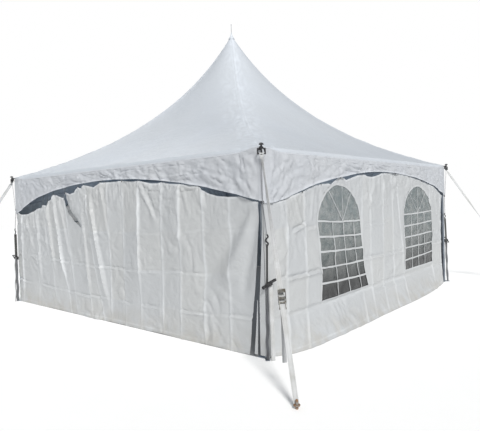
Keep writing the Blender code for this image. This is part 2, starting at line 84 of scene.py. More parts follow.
# Windows, two in each side wall, as the hung cloth pulls them out of true
WINDOWED = ("right", "left")
WINDOWS = (0, 1)
WINDOW_SPRING = 1.46
WINDOW_TOP = 1.97
WINDOW_LIFT = (0.022, 0.012)
WINDOW_SILLS = (0.44, 0.495)
WINDOW_EDGES = (            # heights, and where the left and right edges are at them
    ((0.44, 0.75, 1.05, 1.24, 1.46), (-1.885, -1.855, -1.87, -1.88, -1.90),
     (-0.475, -0.59, -0.64, -0.66, -0.68)),
    ((0.44, 1.46), (0.87, 0.905), (2.235, 2.215)),
)
ARCH_LEAN = (-0.13, 0.0)
ARCH_POWERS = ((1.7, 2.15), (1.8, 1.8))
BORDER = 0.035              # sewn border round each window
BAR_WIDTHS = (0.025, 0.016, 0.010)      # across, upright, in the fan
LADDERS = (                 # height and tilt of each window's bars across
    ((0.655, -0.045), (0.865, -0.035), (1.072, -0.05), (1.270, -0.05), (1.475, -0.05)),
    ((0.695, 0.035), (0.893, 0.0), (1.085, 0.027), (1.285, 0.041), (1.484, 0.027)),
)
BAR_UPRIGHTS = ((-0.36, 0.14, 0.655), (-0.48, -0.03, 0.42))
FAN_ANGLES = ((119, 78, 52), (128, 90, 52))
PANE_LAP = 0.018

# Webbing, guys and stakes, as the solids have them
HOOK_OUT = 0.050
HOOK_Z = 2.315
HOOK_ROD = 0.007
STEM_LOW = 0.012
WEB = 0.050
WEB_THICK = 0.004
STAKE_NEAR = (4.046, -3.930)
STAKE_REACH = (4.250, -4.200)
STAKE = 0.0125
STAKE_SEAT = 0.040
GUY_RATCHET_AT = 0.655
GUY_TAIL = 0.50
GUY_TAIL_SWAY = 0.012
TWIST_SHARES = (0.0, 0.02, 0.16, 0.30, 0.60)
TWIST_DEGREES = (0, 70, 74, 58, 0)
TIE_TOP = 1.7773
TIE_BUCKLE_Z = 1.350
TIE_BUCKLE_LENGTH = 0.130
TIE_RATCHET_Z = 0.840
TIE_SLANT = math.radians(24)
TIE_TURN_Z = (0.58, 0.76)
TIE_FOOT = 0.0083
TIE_ROUTE = (               # height, distance out from the roof's corner, distance aside
    (TIE_TOP, -0.003, 0.0),
    (TIE_BUCKLE_Z, 0.016, 0.035),
    (TIE_RATCHET_Z, 0.024, 0.020),
    (0.020, 0.035, 0.0),
    (TIE_FOOT, 0.035, 0.0),
)
TIE_TAIL_SWAY = 0.022
BRACKET_OUT = 0.030
BRACKET_HALF = 0.040
BRACKET_FOOT = 2.335
BRACKET_RISE = 0.048
BRACKET_DOME = ((0.026, 0.040, 0.052), (0.020, 0.052, 0.062), (0.011, 0.062, 0.068))
TAIL_WIDTH = 0.045
TAIL_THICK = 0.0025
TAIL_WAVES = 2.5
TAIL_FOOT = 0.004
RATCHET_PIN = 0.008
RATCHET_SPREAD = 0.050
RATCHET_PLATE = 0.0025
RATCHET_LIFT = WEB_THICK / 2 + GAP + RATCHET_PIN

SIDES = ("front", "right", "back", "left")
CORNERS = ("front_right", "back_right", "back_left", "front_left")
QUARTER = math.radians(90)
OUT = Vector((1, -1, 0)).normalized()
ASIDE = Vector((1, 1, 0)).normalized()
UP = Vector((0, 0, 1))


# Camera, set from the corners of the tent in the photograph

CAMERA_AT = (6.395, -7.301, 1.787)
CAMERA_HEADING = math.radians(40.91)
CAMERA_PITCH = math.radians(-1.6)
CAMERA_ROLL = math.radians(-1.9)
SENSOR = 36.0
FOCAL_PIXELS = 483.0
FRAME_PIXELS = 480.0


def placed(name, data):
    """A new object in the scene."""
    thing = bpy.data.objects.new(name, data)
    bpy.context.scene.collection.objects.link(thing)
    return thing


def set_camera():
    data = bpy.data.cameras.new("camera")
    data.sensor_width = SENSOR
    data.lens = SENSOR * FOCAL_PIXELS / FRAME_PIXELS
    data.clip_end = 200.0
    camera = placed("camera", data)
    turn = Matrix.Rotation(CAMERA_HEADING, 4, "Z") @ Matrix.Rotation(QUARTER + CAMERA_PITCH, 4, "X")
    turn = turn @ Matrix.Rotation(CAMERA_ROLL, 4, "Z")
    camera.matrix_world = Matrix.Translation(CAMERA_AT) @ turn
    bpy.context.scene.camera = camera


# Relief

def fade(low, high, value):
    """0 below low, 1 above high, and a smooth step between them."""
    share = np.clip((value - low) / (high - low), 0.0, 1.0)
    return share * share * (3 - 2 * share)


def bell(off, width):
    """1 on a line, and less with the distance off it."""
    return np.exp(-(off / width) ** 2)


def shares(steps):
    """Even shares from 0 to 1."""
    return [i / steps for i in range(steps + 1)]


def noise(u, v, seed):
    """Smooth noise between about -1 and 1, with cells one unit wide."""
    size = 64
    angles = np.random.default_rng(seed).uniform(0, 2 * np.pi, (size, size))
    row = np.floor(u).astype(int)
    column = np.floor(v).astype(int)
    du = u - row
    dv = v - column

    def corner(i, j):
        angle = angles[(row + i) % size, (column + j) % size]
        return np.cos(angle) * (du - i) + np.sin(angle) * (dv - j)

    mix_u = du ** 3 * (du * (du * 6 - 15) + 10)
    mix_v = dv ** 3 * (dv * (dv * 6 - 15) + 10)
    low = corner(0, 0) * (1 - mix_u) + corner(1, 0) * mix_u
    high = corner(0, 1) * (1 - mix_u) + corner(1, 1) * mix_u
    return 1.5 * (low * (1 - mix_v) + high * mix_v)


def crumple(u, v, size, seed):
    """Flat facets that meet in sharp creases, about size metres apart, from 0 up to about 1."""
    u = u / size
    v = v / size
    bent_u = u + 0.6 * noise(u * 0.7, v * 0.7, seed + 1)
    bent_v = v + 0.6 * noise(u * 0.7 + 9, v * 0.7 + 5, seed + 2)
    facets = 0
    for part, fine, more in ((1.0, 1.0, 3), (0.45, 2.1, 4), (0.2, 4.3, 5)):
        facets = facets + part * np.abs(noise(bent_u * fine, bent_v * fine, seed + more))
    return facets


def beside(s, z, start, end):
    """The share of the way along a line on a side, and the distance to one side of it."""
    along = np.array(end) - np.array(start)
    length = float(np.hypot(*along))
    along = along / length
    ds = s - start[0]
    dz = z - start[1]
    return (ds * along[0] + dz * along[1]) / length, ds * along[1] - dz * along[0]


def stroke(s, z, start, end, width, height, lean=0.0):
    """A fold along a line on a side: a ridge, or a groove where height is negative."""
    share, off = beside(s, z, start, end)
    ends = fade(-0.08, 0.10, share) * (1 - fade(0.86, 1.06, share))
    return height * ends * bell(off, width) * (1 + lean * off / width)


def drape(s, z, start, end, width, height):
    """Cloth that swells towards a line, from the left, and drops away sharply past it."""
    share, before = beside(s, z, start, end)
    ends = fade(-0.05, 0.15, share) * (1 - fade(0.75, 1.10, share))
    swell = np.where(before > 0, np.exp(-np.abs(before) / width), bell(before, DRAPE_DROP))
    return height * ends * swell


def line_at(line, z):
    """Where an upright fold line (its place at 2 m up, its place at the foot) is at height z."""
    return line[1] + (line[0] - line[1]) * z / 2.0


DRAPE_DROP = 0.022
PLEAT_HEIGHT = 0.010
FOLD_RIDGE = 0.0065
FOLD_WIDTH = 0.019
FOLD_GROOVE = 0.0105
LEVEL_STRENGTHS = (1.0, 0.9, 0.35)


def rank(value, edges):
    """How many of the edges a value has passed, with the share of the way to the next one."""
    return sum(np.clip((value - low) / (high - low), 0, 1) for low, high in zip(edges, edges[1:]))


def folded(s, z, uprights, levels, seed, depth):
    """Relief, strength of the painted highlight along creases, and a tone by panel that is painted facet
    shade, of cloth that was stored folded along these lines.
    """
    rng = np.random.default_rng(seed)
    lines = [(-HALF - 0.1,) * 2] + sorted(uprights) + [(HALF + 0.1,) * 2]
    place = rank(s, [line_at(line, z) for line in lines])
    panel = np.clip(np.floor(place).astype(int), 0, len(lines) - 2)
    tilt = rng.uniform(-0.5, 0.5, (len(lines), len(levels)))
    lift = rng.uniform(-0.015, 0.015, (len(lines), len(levels)))
    rows = [np.full_like(s, -0.2)]
    for k, (height, rise) in enumerate(levels):
        leaning = 0.05 * tilt[panel, k] * (place - panel - 0.5)
        rows.append(height + rise * s ** 2 + lift[panel, k] + leaning)
    rows.append(np.full_like(s, 2.5))
    level = rank(z, rows)
    heights = rng.uniform(-depth, depth, (len(lines) + 1, len(rows) + 1))
    i = np.floor(place).astype(int)
    j = np.floor(level).astype(int)
    a = place - i
    b = level - j
    relief = (heights[i, j] * (1 - a) + heights[i + 1, j] * a) * (1 - b)
    relief += (heights[i, j + 1] * (1 - a) + heights[i + 1, j + 1] * a) * b
    # Strength of the painted highlight along each fold line and just below each level fold.
    crease_whitening_and_highlight = np.zeros_like(s)
    for k, line in enumerate(lines[1:-1]):
        off = (s - line_at(line, z)) / FOLD_WIDTH
        strength = 0.75 + 0.5 * noise(z * 2.3 + 3 * k, s * 0 + 0.5, seed + 20)
        relief += FOLD_RIDGE * (bell(off, 1) * strength * (1 + 0.6 * off) - 0.6 * bell(off + 1.9, 1))
        crease_whitening_and_highlight = np.maximum(crease_whitening_and_highlight, bell(off, 1) * strength)
    for k, row in enumerate(rows[1:-1]):
        under = bell(z - row + 0.028, 0.015)
        broken = fade(-0.40, 0.50, noise(s * 2.1 + 7 * k, s * 0 + 0.5, seed + 40))
        strength = broken * LEVEL_STRENGTHS[k]
        relief += FOLD_GROOVE * (under - bell(z - row, 0.014)) * strength
        crease_whitening_and_highlight = np.maximum(crease_whitening_and_highlight, 0.35 * under * strength)
    # A tone for each panel between fold lines, as painted facet shade.
    facet_shades = rng.uniform(-1, 1, (len(lines), len(rows)))
    return relief, crease_whitening_and_highlight, facet_shades[panel, j]


def fan(s, z, hook_s, hook_z, seed):
    """Pleats that run down from a hook."""
    ds = s - hook_s
    down = np.maximum(hook_z - z, 0) + 0.015
    reach = np.hypot(ds, down)
    angle = np.arctan2(ds, down)
    phase = 6.28 * ((seed * 0.37) % 1.0)
    return PLEAT_HEIGHT * np.cos(angle * 8 + phase) * np.exp(-reach / 0.20) * reach / (reach + 0.02)


# Meshes

STRAP_COLUMNS = 6


def quad_mesh(name, points, quads):
    mesh = bpy.data.meshes.new(name)
    mesh.vertices.add(len(points))
    mesh.vertices.foreach_set("co", np.ascontiguousarray(points, np.float32).ravel())
    mesh.loops.add(quads.size)
    mesh.loops.foreach_set("vertex_index", quads.astype(np.int32).ravel())
    mesh.polygons.add(len(quads))
    mesh.polygons.foreach_set("loop_start", np.arange(0, quads.size, 4, dtype=np.int32))
    mesh.update(calc_edges=True)
    return mesh


def finish_mesh(mesh, angle=50):
    mesh.shade_smooth()
    mesh.set_sharp_from_angle(angle=math.radians(angle))
    return mesh


def unit(vectors):
    return vectors / np.maximum(np.linalg.norm(vectors, axis=-1, keepdims=True), 1e-12)


def grid_normals(points, wrap=False):
    across = np.gradient(points, axis=1)
    if wrap:
        padded = np.concatenate([points[:, -1:], points, points[:, :1]], axis=1)
        across = np.gradient(padded, axis=1)[:, 1:-1]
    return unit(np.cross(across, np.gradient(points, axis=0)))


def closed_sheet(name, points, thickness, facts, keep=None, wrap=False, flip=False):
    """A thin closed body behind a grid of points, without the cells that keep leaves out."""
    index = np.arange(points[..., 0].size).reshape(points.shape[:2])
    count = index.size
    low = index[:-1]
    high = index[1:]
    cells = np.stack([low, np.roll(low, -1, 1), np.roll(high, -1, 1), high], -1)
    if not wrap:
        cells = cells[:, :-1]
    if keep is not None:
        cells = cells[keep]
    front = cells.reshape(-1, 4)
    if flip:
        front = front[:, ::-1]
    edges = np.stack([front, np.roll(front, -1, 1)], -1).reshape(-1, 2)
    there = edges[:, 0] * count + edges[:, 1]
    back_again = edges[:, 1] * count + edges[:, 0]
    rim = edges[~np.isin(there, back_again)]
    sides = np.stack([rim[:, 1], rim[:, 0], rim[:, 0] + count, rim[:, 1] + count], -1)
    quads = np.concatenate([front, front[:, ::-1] + count, sides])
    inward = grid_normals(points, wrap) * (thickness if flip else -thickness)
    every = np.concatenate([points.reshape(-1, 3), (points + inward).reshape(-1, 3)])
    used, packed = np.unique(quads, return_inverse=True)
    mesh = quad_mesh(name, every[used], packed.reshape(-1, 4))
    for key, values in facts.items():
        flat = np.tile(values.reshape(count, -1), (2, 1))[used]
        kind, field = ("FLOAT_VECTOR", "vector") if flat.shape[1] == 3 else ("FLOAT", "value")
        layer = mesh.attributes.new(key, kind, "POINT")
        layer.data.foreach_set(field, flat.astype(np.float32).ravel())
    return finish_mesh(mesh)


def strap_sheet(name, path, sides, width, thickness):
    """A strap along a path; sides are the directions of its width at each point."""
    path = np.array([tuple(p) for p in path], float)
    sides = np.array([tuple(p) for p in sides], float)
    ahead = unit(np.gradient(path, axis=0))
    sides = unit(sides - ahead * np.sum(sides * ahead, axis=1, keepdims=True))
    face = np.cross(ahead, sides)
    spread = np.linspace(-0.5, 0.5, STRAP_COLUMNS + 1)
    crown = thickness * (0.5 - 0.35 * (2 * np.abs(spread)) ** 6)
    points = path[:, None] + sides[:, None] * (spread * width)[None, :, None]
    points = points + face[:, None] * crown[None, :, None]
    steps = np.linalg.norm(np.diff(path, axis=0), axis=1)
    along = np.concatenate([[0], np.cumsum(steps)])
    weave = np.stack(np.broadcast_arrays(spread[None, :] * width, along[:, None], 0.0), -1)
    flip = np.sum(grid_normals(points)[0, STRAP_COLUMNS // 2] * face[0]) < 0
    return closed_sheet(name, points, thickness, {"cloth": weave}, flip=bool(flip))


def circle(centre, a, b, radius, steps):
    """Points round a circle that is drawn along two directions."""
    angles = [2 * math.pi * k / steps for k in range(steps)]
    return [centre + (a * math.cos(angle) + b * math.sin(angle)) * radius for angle in angles]


def tube_parts(path, radius, sides=10, closed=False):
    """Points and faces of a tube along a path."""
    path = [Vector(p) for p in path]
    count = len(path)
    points = []
    turn = None
    for i, spot in enumerate(path):
        if closed:
            ahead = path[(i + 1) % count] - path[i - 1]
        else:
            ahead = path[min(i + 1, count - 1)] - path[max(i - 1, 0)]
        ahead.normalize()
        if turn is None:
            turn = ahead.orthogonal().normalized()
        turn = (turn - ahead * turn.dot(ahead)).normalized()
        points += circle(spot, turn, ahead.cross(turn), radius, sides)
    faces = []
    for i in range(count if closed else count - 1):
        a = i * sides
        b = ((i + 1) % count) * sides
        for k in range(sides):
            n = (k + 1) % sides
            faces.append((a + k, a + n, b + n, b + k))
    if not closed:
        faces.append(tuple(reversed(range(sides))))
        faces.append(tuple(range((count - 1) * sides, count * sides)))
    return points, faces


def plate_parts(outline, centre, along, across, thickness):
    """A flat plate with an outline drawn along and across, as thick as given."""
    through = along.cross(across) * thickness
    middle = [centre + along * a + across * b for a, b in outline]
    points = [spot + through * end for end in (-0.5, 0.5) for spot in middle]
    count = len(outline)
    faces = [tuple(reversed(range(count))), tuple(range(count, 2 * count))]
    for i in range(count):
        n = (i + 1) % count
        faces.append((i, n, n + count, i + count))
    return points, faces


def rounded_box(length, width, corner):
    """Outline of a rectangle with round corners."""
    points = []
    for number, (a, b) in enumerate(((1, 1), (-1, 1), (-1, -1), (1, -1))):
        for share in shares(4):
            angle = QUARTER * (number + share)
            points.append((a * (length / 2 - corner) + corner * math.cos(angle),
                           b * (width / 2 - corner) + corner * math.sin(angle)))
    return points


def joined(name, parts):
    """One mesh from several lists of points and faces."""
    points = []
    faces = []
    for some_points, some_faces in parts:
        start = len(points)
        points += [tuple(p) for p in some_points]
        faces += [tuple(start + i for i in face) for face in some_faces]
    mesh = bpy.data.meshes.new(name)
    mesh.from_pydata(points, [], faces)
    mesh.update()
    return finish_mesh(mesh, 35)


def show(name, shape, material, slot, replaced=None, turns=0):
    """Put a piece into the scene, riding on the tent; its shape is a mesh or a list of parts."""
    mesh = joined(name, shape) if isinstance(shape, list) else shape
    piece = placed(name, mesh)
    if turns:
        mesh.transform(Matrix.Rotation(turns * QUARTER, 4, "Z"))
    mesh.materials.append(material)
    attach(piece, "root")
    if replaced:
        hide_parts(replaced)
    return piece


def show_cloth(name, points, facts, material, slot, replaced=None, thickness=VINYL, **grid):
    mesh = closed_sheet(name, points, thickness, facts, **grid)
    return show(name, mesh, material, slot, replaced)


def show_strap(name, path, sides, width, thickness, material, slot, replaced=None, turns=0):
    mesh = strap_sheet(name, path, sides, width, thickness)
    return show(name, mesh, material, slot, replaced, turns)


def lay(s, z, crease_whitening_and_highlight=0.0, tone_and_facet_shade=0.0):
    """What the vinyl reads: the place on the cloth, how strongly creases get their painted highlight, and
    a tone that is random on the roof and valances and painted facet shade on the walls.
    """
    return {"cloth": np.stack([s, z, 0 * z], -1), "crease_whitening_and_highlight": crease_whitening_and_highlight + 0 * s, "tone_and_facet_shade": tone_and_facet_shade + 0 * s}


def side_points(turns, s, out, z):
    """Points from places along a side, distances out from the walls' face, and heights."""
    cosine = (1, 0, -1, 0)[turns]
    sine = (0, 1, 0, -1)[turns]
    y = -(WALL_FACE + out)
    return np.stack([s * cosine - y * sine, s * sine + y * cosine, z], -1)


# Materials

STITCH_APART = 0.014
STITCH_HALF = 0.0013


class Shading:
    """A Principled material and short ways to add nodes to it."""

    def __init__(self, name, metallic=0.0):
        self.material = bpy.data.materials.new(name)
        self.material.use_nodes = True
        self.tree = self.material.node_tree
        self.shader = self.tree.nodes["Principled BSDF"]
        self.give(self.shader, {"Metallic": metallic})
        self.place = self.add("ShaderNodeTexCoord").outputs["Object"]

    def give(self, item, inputs):
        """Link a node's inputs to sockets, or set them to values."""
        for key, value in inputs.items():
            if isinstance(value, bpy.types.NodeSocket):
                self.tree.links.new(value, item.inputs[key])
            else:
                item.inputs[key].default_value = value

    def add(self, kind, inputs=None, **settings):
        item = self.tree.nodes.new(kind)
        for key, value in settings.items():
            setattr(item, key, value)
        self.give(item, inputs or {})
        return item

    def noise(self, scale, detail=3.0, where=None, rough=0.5):
        inputs = {"Vector": where or self.place, "Scale": scale, "Detail": detail, "Roughness": rough}
        return self.add("ShaderNodeTexNoise", inputs).outputs["Fac"]

    def stretched(self, x, y, z):
        return self.add("ShaderNodeMapping", {"Vector": self.place, "Scale": (x, y, z)}).outputs["Vector"]

    def wave(self, scale, where, direction):
        inputs = {"Vector": where, "Scale": scale}
        settings = {"wave_type": "BANDS", "bands_direction": direction}
        return self.add("ShaderNodeTexWave", inputs, **settings).outputs["Fac"]

    def axis(self, where, name):
        return self.add("ShaderNodeSeparateXYZ", {0: where}).outputs[name]

    def remap(self, value, low, high, to_low=0.0, to_high=1.0):
        inputs = {"Value": value, "From Min": low, "From Max": high,
                  "To Min": to_low, "To Max": to_high}
        return self.add("ShaderNodeMapRange", inputs).outputs["Result"]

    def math(self, operation, a, b=0.0):
        return self.add("ShaderNodeMath", {0: a, 1: b}, operation=operation).outputs[0]

    def mix(self, share, a, b):
        """Mix two colours; a and b are sockets or (red, green, blue)."""
        a = a if isinstance(a, bpy.types.NodeSocket) else (*a, 1.0)
        b = b if isinstance(b, bpy.types.NodeSocket) else (*b, 1.0)
        return self.add("ShaderNodeMix", {0: share, 6: a, 7: b}, data_type="RGBA").outputs[2]

    def fact(self, name, output="Fac"):
        return self.add("ShaderNodeAttribute", attribute_name=name).outputs[output]

    def finish(self, colour, roughness, *layers):
        """Set colour, roughness and bump; layers are (height socket, how deep it is in metres)."""
        self.give(self.shader, {"Base Color": colour, "Roughness": roughness})
        normal = {}
        for height, depth in layers:
            inputs = {"Height": height, "Distance": depth, "Strength": 1.0, **normal}
            normal = {"Normal": self.add("ShaderNodeBump", inputs).outputs["Normal"]}
        self.give(self.shader, normal)
        return self.material


def scaled(colour, factor):
    return tuple(c * factor for c in colour)


def vinyl(name, colour, crumpled, foot_darkening=0.0):
    """White coated fabric: woven scrim under a satin skin, scuffs, creases lightened partly by stress
    whitening and partly as painted highlight, a warmer tone by panel that on the walls is painted facet
    shade, and darker brownish patches low down.
    """
    look = Shading(name)
    weave = look.fact("cloth", "Vector")
    scrim = look.math("MULTIPLY", look.wave(240, weave, "X"), look.wave(240, weave, "Y"))
    fine = look.noise(23.0, 4.0)
    warm = (colour[0] * 1.01, colour[1] * 0.995, colour[2] * 0.965)
    shade = look.mix(look.remap(look.noise(1.3), 0.35, 0.65), colour, scaled(colour, 0.955))
    # Painted shade: a warmer tone by panel, which on the walls stands in for the shading of the flat
    # facets between fold lines; on the roof and valances it varies at random.
    shade = look.mix(look.remap(look.fact("tone_and_facet_shade"), -1.0, 1.0, 0.0, 0.7), shade, warm)
    scuffs = look.remap(look.noise(7.0, 8.0, rough=0.7), 0.60, 0.78, 0.0, 0.35)
    shade = look.mix(scuffs, shade, scaled(colour, 0.84))
    # Painted highlight: lighter colour along creases, hems and hips, partly the stress whitening of folded
    # vinyl and partly light catching the ridges.
    shade = look.mix(look.math("MULTIPLY", look.fact("crease_whitening_and_highlight"), 0.80), shade, scaled(colour, 1.42))
    # Darker brownish patches towards the foot, by the given amount.
    if foot_darkening:
        low = look.remap(look.axis(look.place, "Z"), 0.0, 0.32, 1.0, 0.0)
        patches = look.remap(look.noise(5.0, 6.0), 0.36, 0.62)
        foot_darkening_mask = look.math("MULTIPLY", look.math("MULTIPLY", low, patches), foot_darkening)
        shade = look.mix(foot_darkening_mask, shade, (0.36, 0.34, 0.30))
    look.give(look.shader, {"Specular IOR Level": 0.35})
    facets = look.math("ABSOLUTE", look.math("SUBTRACT", look.noise(4.5, 4.0), 0.5))
    facets = look.math("MULTIPLY", facets, look.remap(look.noise(1.7, 2.0), 0.40, 0.62, 0.25, 1.0))
    return look.finish(shade, look.remap(fine, 0.3, 0.7, 0.36, 0.52), (facets, 0.060 * crumpled),
                       (scrim, 0.00012), (fine, 0.0012), (look.noise(60.0), 0.0004))


def clear_vinyl():
    """Clear window vinyl: glossy, a little smoky, rippled and scuffed, and darker and more opaque towards
    the bottom as painted shade of the dark interior and painted reflection of the dark ground.
    """
    look = Shading("clear_vinyl")
    haze = look.remap(look.noise(9.0, 6.0), 0.35, 0.75)
    # Painted shade and reflection: towards the bottom the pane turns near black and more opaque, for the
    # dark interior behind it and the dark ground it reflects.
    low = look.remap(look.axis(look.place, "Z"), 0.60, 1.40, 1.0, 0.0)
    shade = look.mix(haze, (0.23, 0.265, 0.265), (0.37, 0.385, 0.38))
    clouded = look.remap(haze, 0.0, 1.0, 0.50, 0.62)
    alpha = look.math("ADD", clouded, look.math("MULTIPLY", low, 0.40))
    look.give(look.shader, {"Alpha": alpha, "IOR": 1.45})
    shade = look.mix(low, shade, (0.018, 0.019, 0.020))
    return look.finish(shade, look.remap(haze, 0.0, 1.0, 0.08, 0.24),
                       (look.noise(3.2), 0.010), (look.noise(14.0), 0.002))


def webbing(name, colour, soiled, stripes=True):
    """Flat woven polyester: ribs across, two sewn lines, soiling in the weave."""
    look = Shading(name)
    weave = look.fact("cloth", "Vector")
    woven = look.math("MULTIPLY", look.wave(115, weave, "Y"), look.wave(190, weave, "X"))
    shade = look.mix(look.remap(look.noise(6.0, 7.0), 0.42, 0.70, 0.0, 0.75), colour, soiled)
    shade = look.mix(look.remap(woven, 0.0, 0.5, 0.35, 0.0), shade, scaled(colour, 0.62))
    if stripes:
        apart = look.math("ABSOLUTE", look.axis(weave, "X"))
        off = look.math("ABSOLUTE", look.math("SUBTRACT", apart, STITCH_APART))
        line = look.math("MULTIPLY", look.math("LESS_THAN", off, STITCH_HALF), 0.55)
        shade = look.mix(line, shade, scaled(colour, 0.45))
    return look.finish(shade, look.remap(woven, 0.0, 1.0, 0.92, 0.70),
                       (woven, 0.0006), (look.noise(90.0, 2.0), 0.0003))


def painted_steel():
    look = Shading("black_steel")
    worn = look.remap(look.noise(60.0, 8.0, rough=0.7), 0.56, 0.66)
    look.give(look.shader, {"Metallic": look.remap(worn, 0.0, 1.0, 0.0, 0.8)})
    polish = look.remap(look.noise(35.0, 5.0), 0.3, 0.7, 0.30, 0.55)
    return look.finish(look.mix(worn, (0.018, 0.018, 0.021), (0.20, 0.19, 0.18)), polish,
                       (look.noise(140.0, 4.0), 0.0004), (worn, 0.0002))


def plated_steel():
    look = Shading("ratchet_steel", 0.85)
    stains = look.remap(look.noise(45.0, 7.0), 0.45, 0.70)
    polish = look.remap(look.noise(80.0, 5.0), 0.3, 0.7, 0.28, 0.60)
    return look.finish(look.mix(stains, (0.16, 0.16, 0.15), (0.08, 0.065, 0.05)), polish,
                       (look.noise(200.0, 4.0), 0.0003), (stains, 0.0002))


def alloy():
    """Mill-finish tube: drawn lines along the tube, dull patches and a few dents, in dark slate colours
    that are painted shade, far darker than bare aluminium.
    """
    look = Shading("alloy_tube", 0.6)
    drawn = look.noise(1.0, 4.0, where=look.stretched(260.0, 260.0, 9.0))
    patches = look.remap(look.noise(7.0, 6.0), 0.38, 0.66)
    # Painted shade: slate colours far darker than bare aluminium, as the legs look in shadow.
    return look.finish(look.mix(patches, (0.25, 0.28, 0.32), (0.17, 0.19, 0.22)),
                       look.remap(drawn, 0.25, 0.75, 0.26, 0.48),
                       (drawn, 0.0003), (look.noise(18.0, 2.0), 0.0010))


def wire_rope():
    look = Shading("steel_cable", 0.9)
    strands = look.wave(60, look.place, "DIAGONAL")
    return look.finish(look.mix(strands, (0.20, 0.20, 0.20), (0.55, 0.56, 0.57)),
                       look.remap(look.noise(50.0, 5.0), 0.3, 0.7, 0.30, 0.55),
                       (strands, 0.0015), (look.noise(150.0), 0.0002))


def rusty_steel():
    look = Shading("stake_steel", 0.35)
    flakes = look.noise(70.0, 9.0, rough=0.65)
    blotches = look.noise(24.0, 4.0)
    shade = look.mix(look.remap(flakes, 0.35, 0.65), (0.16, 0.085, 0.045), (0.34, 0.20, 0.11))
    shade = look.mix(look.remap(blotches, 0.52, 0.66), shade, (0.30, 0.28, 0.26))
    return look.finish(shade, look.remap(flakes, 0.3, 0.7, 0.62, 0.95),
                       (flakes, 0.0012), (blotches, 0.0020))


def rope_fibre():
    look = Shading("tie_rope")
    strands = look.wave(45, look.stretched(1.0, 1.0, 2.0), "DIAGONAL")
    return look.finish(look.mix(strands, (0.10, 0.105, 0.12), (0.26, 0.27, 0.29)), 0.85,
                       (strands, 0.0012), (look.noise(120.0), 0.0003))


# The roof's vinyl is bluer than the walls': partly its own colour, partly painted sky light.
ROOF_VINYL = vinyl("roof_vinyl", (0.525, 0.56, 0.61), 0.25)
VALANCE_VINYL = vinyl("valance_vinyl", (0.465, 0.485, 0.52), 0.8)
WALL_VINYL = vinyl("wall_vinyl", (0.455, 0.47, 0.485), 0.6, foot_darkening=0.55)
CLEAR = clear_vinyl()
WHITE_WEB = webbing("white_webbing", (0.58, 0.59, 0.60), (0.40, 0.40, 0.38))
DARK_WEB = webbing("dark_webbing", (0.045, 0.045, 0.045), (0.09, 0.09, 0.085), stripes=False)
# Painted shade: a grey copy of the white webbing for the tie's lower length, which stands in shadow.
SHADE_GREY_WEB = webbing("shade_grey_webbing", (0.15, 0.155, 0.17), (0.09, 0.09, 0.09))
BLACK_STEEL = painted_steel()
RATCHET_STEEL = plated_steel()
SHADED_ALLOY = alloy()
CABLE = wire_rope()
RUST = rusty_steel()
ROPE = rope_fibre()


# Loose ends of webbing, along the routes that their solids follow

def lerp_route(z):
    """A point of the corner tie at a height."""
    heights, out, aside = np.array(TIE_ROUTE[::-1]).T
    out = DIAGONAL + float(np.interp(z, heights, out))
    return OUT * out + ASIDE * float(np.interp(z, heights, aside)) + UP * z


def guy_ends(stake):
    hook = OUT * (DIAGONAL + HOOK_OUT) + UP * (HOOK_Z - STEM_LOW - GAP)
    peg = Vector((stake[0], stake[1], 0))
    back = Vector((hook.x - peg.x, hook.y - peg.y, 0)).normalized()
    foot = peg + back * (STAKE + WEB_THICK) + UP * (STAKE_SEAT + GAP + WEB_THICK / 2)
    line = (foot - hook).normalized()
    return hook + line * (WEB_THICK / 2), foot


def guy_ratchet_place(stake):
    top, foot = guy_ends(stake)
    along = (foot - top).normalized()
    across = (ASIDE - along * ASIDE.dot(along)).normalized()
    return top.lerp(foot, GUY_RATCHET_AT), along, across


def tie_ratchet_place():
    along = -(ASIDE * math.cos(TIE_SLANT) + UP * math.sin(TIE_SLANT))
    return lerp_route(TIE_RATCHET_Z), along, OUT


def under_bar(place, end, side):
    centre, along, across = place
    bar = centre + along * (end * RATCHET_SPREAD) + along.cross(across) * (side * RATCHET_LIFT)
    lean = abs(across.z) * TAIL_WIDTH / 2
    return bar - UP * (RATCHET_PIN + GAP + lean)


def hanging_end(name, start, drop, sway, across, turns, replaced):
    """A limp end of webbing that hangs in soft waves from a ratchet's bar."""
    path = []
    for share in shares(40):
        wave = sway * (share + math.sin(share * TAIL_WAVES * math.pi) ** 2 / 2)
        path.append(start + OUT * wave - UP * (drop * share))
    length = sum((b - a).length for a, b in zip(path, path[1:]))
    piece = show_strap(name, path, [across] * len(path), TAIL_WIDTH, TAIL_THICK, WHITE_WEB,
                       "white_webbing", replaced, turns)
    turn = Matrix.Rotation(turns * QUARTER, 3, "Z")
    path = [turn @ p for p in path]
    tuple(path[0])


def stake_spot(turns):
    """The stake's place, in the frame of the corner that is turned."""
    spot = STAKE_NEAR if turns == 0 else STAKE_REACH
    return (-spot[1], -spot[0]) if turns % 2 else spot


def loose_ends():
    for turns, corner in enumerate(CORNERS):
        start = under_bar(tie_ratchet_place(), -1, 1)
        hanging_end(f"tie_end_{corner}", start, start.z - TAIL_FOOT, TIE_TAIL_SWAY, ASIDE,
                    turns, f"tie_tail_{corner}")
        place = guy_ratchet_place(stake_spot(turns))
        hanging_end(f"guy_end_{corner}", under_bar(place, 1, -1), GUY_TAIL, GUY_TAIL_SWAY,
                    place[2], turns, f"guy_tail_{corner}")


# Roof

EAVE_ROLL = 0.042
ROLL_FROM = 0.9935
ROOF_COLUMNS = 96
ROOF_RINGS = 116
HEM_PROFILE = ((0.001, -0.017), (0.005, -0.011), (0.0055, -0.005), (0.003, 0.0), (-0.003, 0.003),
               (-0.010, 0.0035))


def roof_height(t):
    return EAVE + (PEAK - EAVE) * (1 - t) / (1 + HIP_SAG * t)


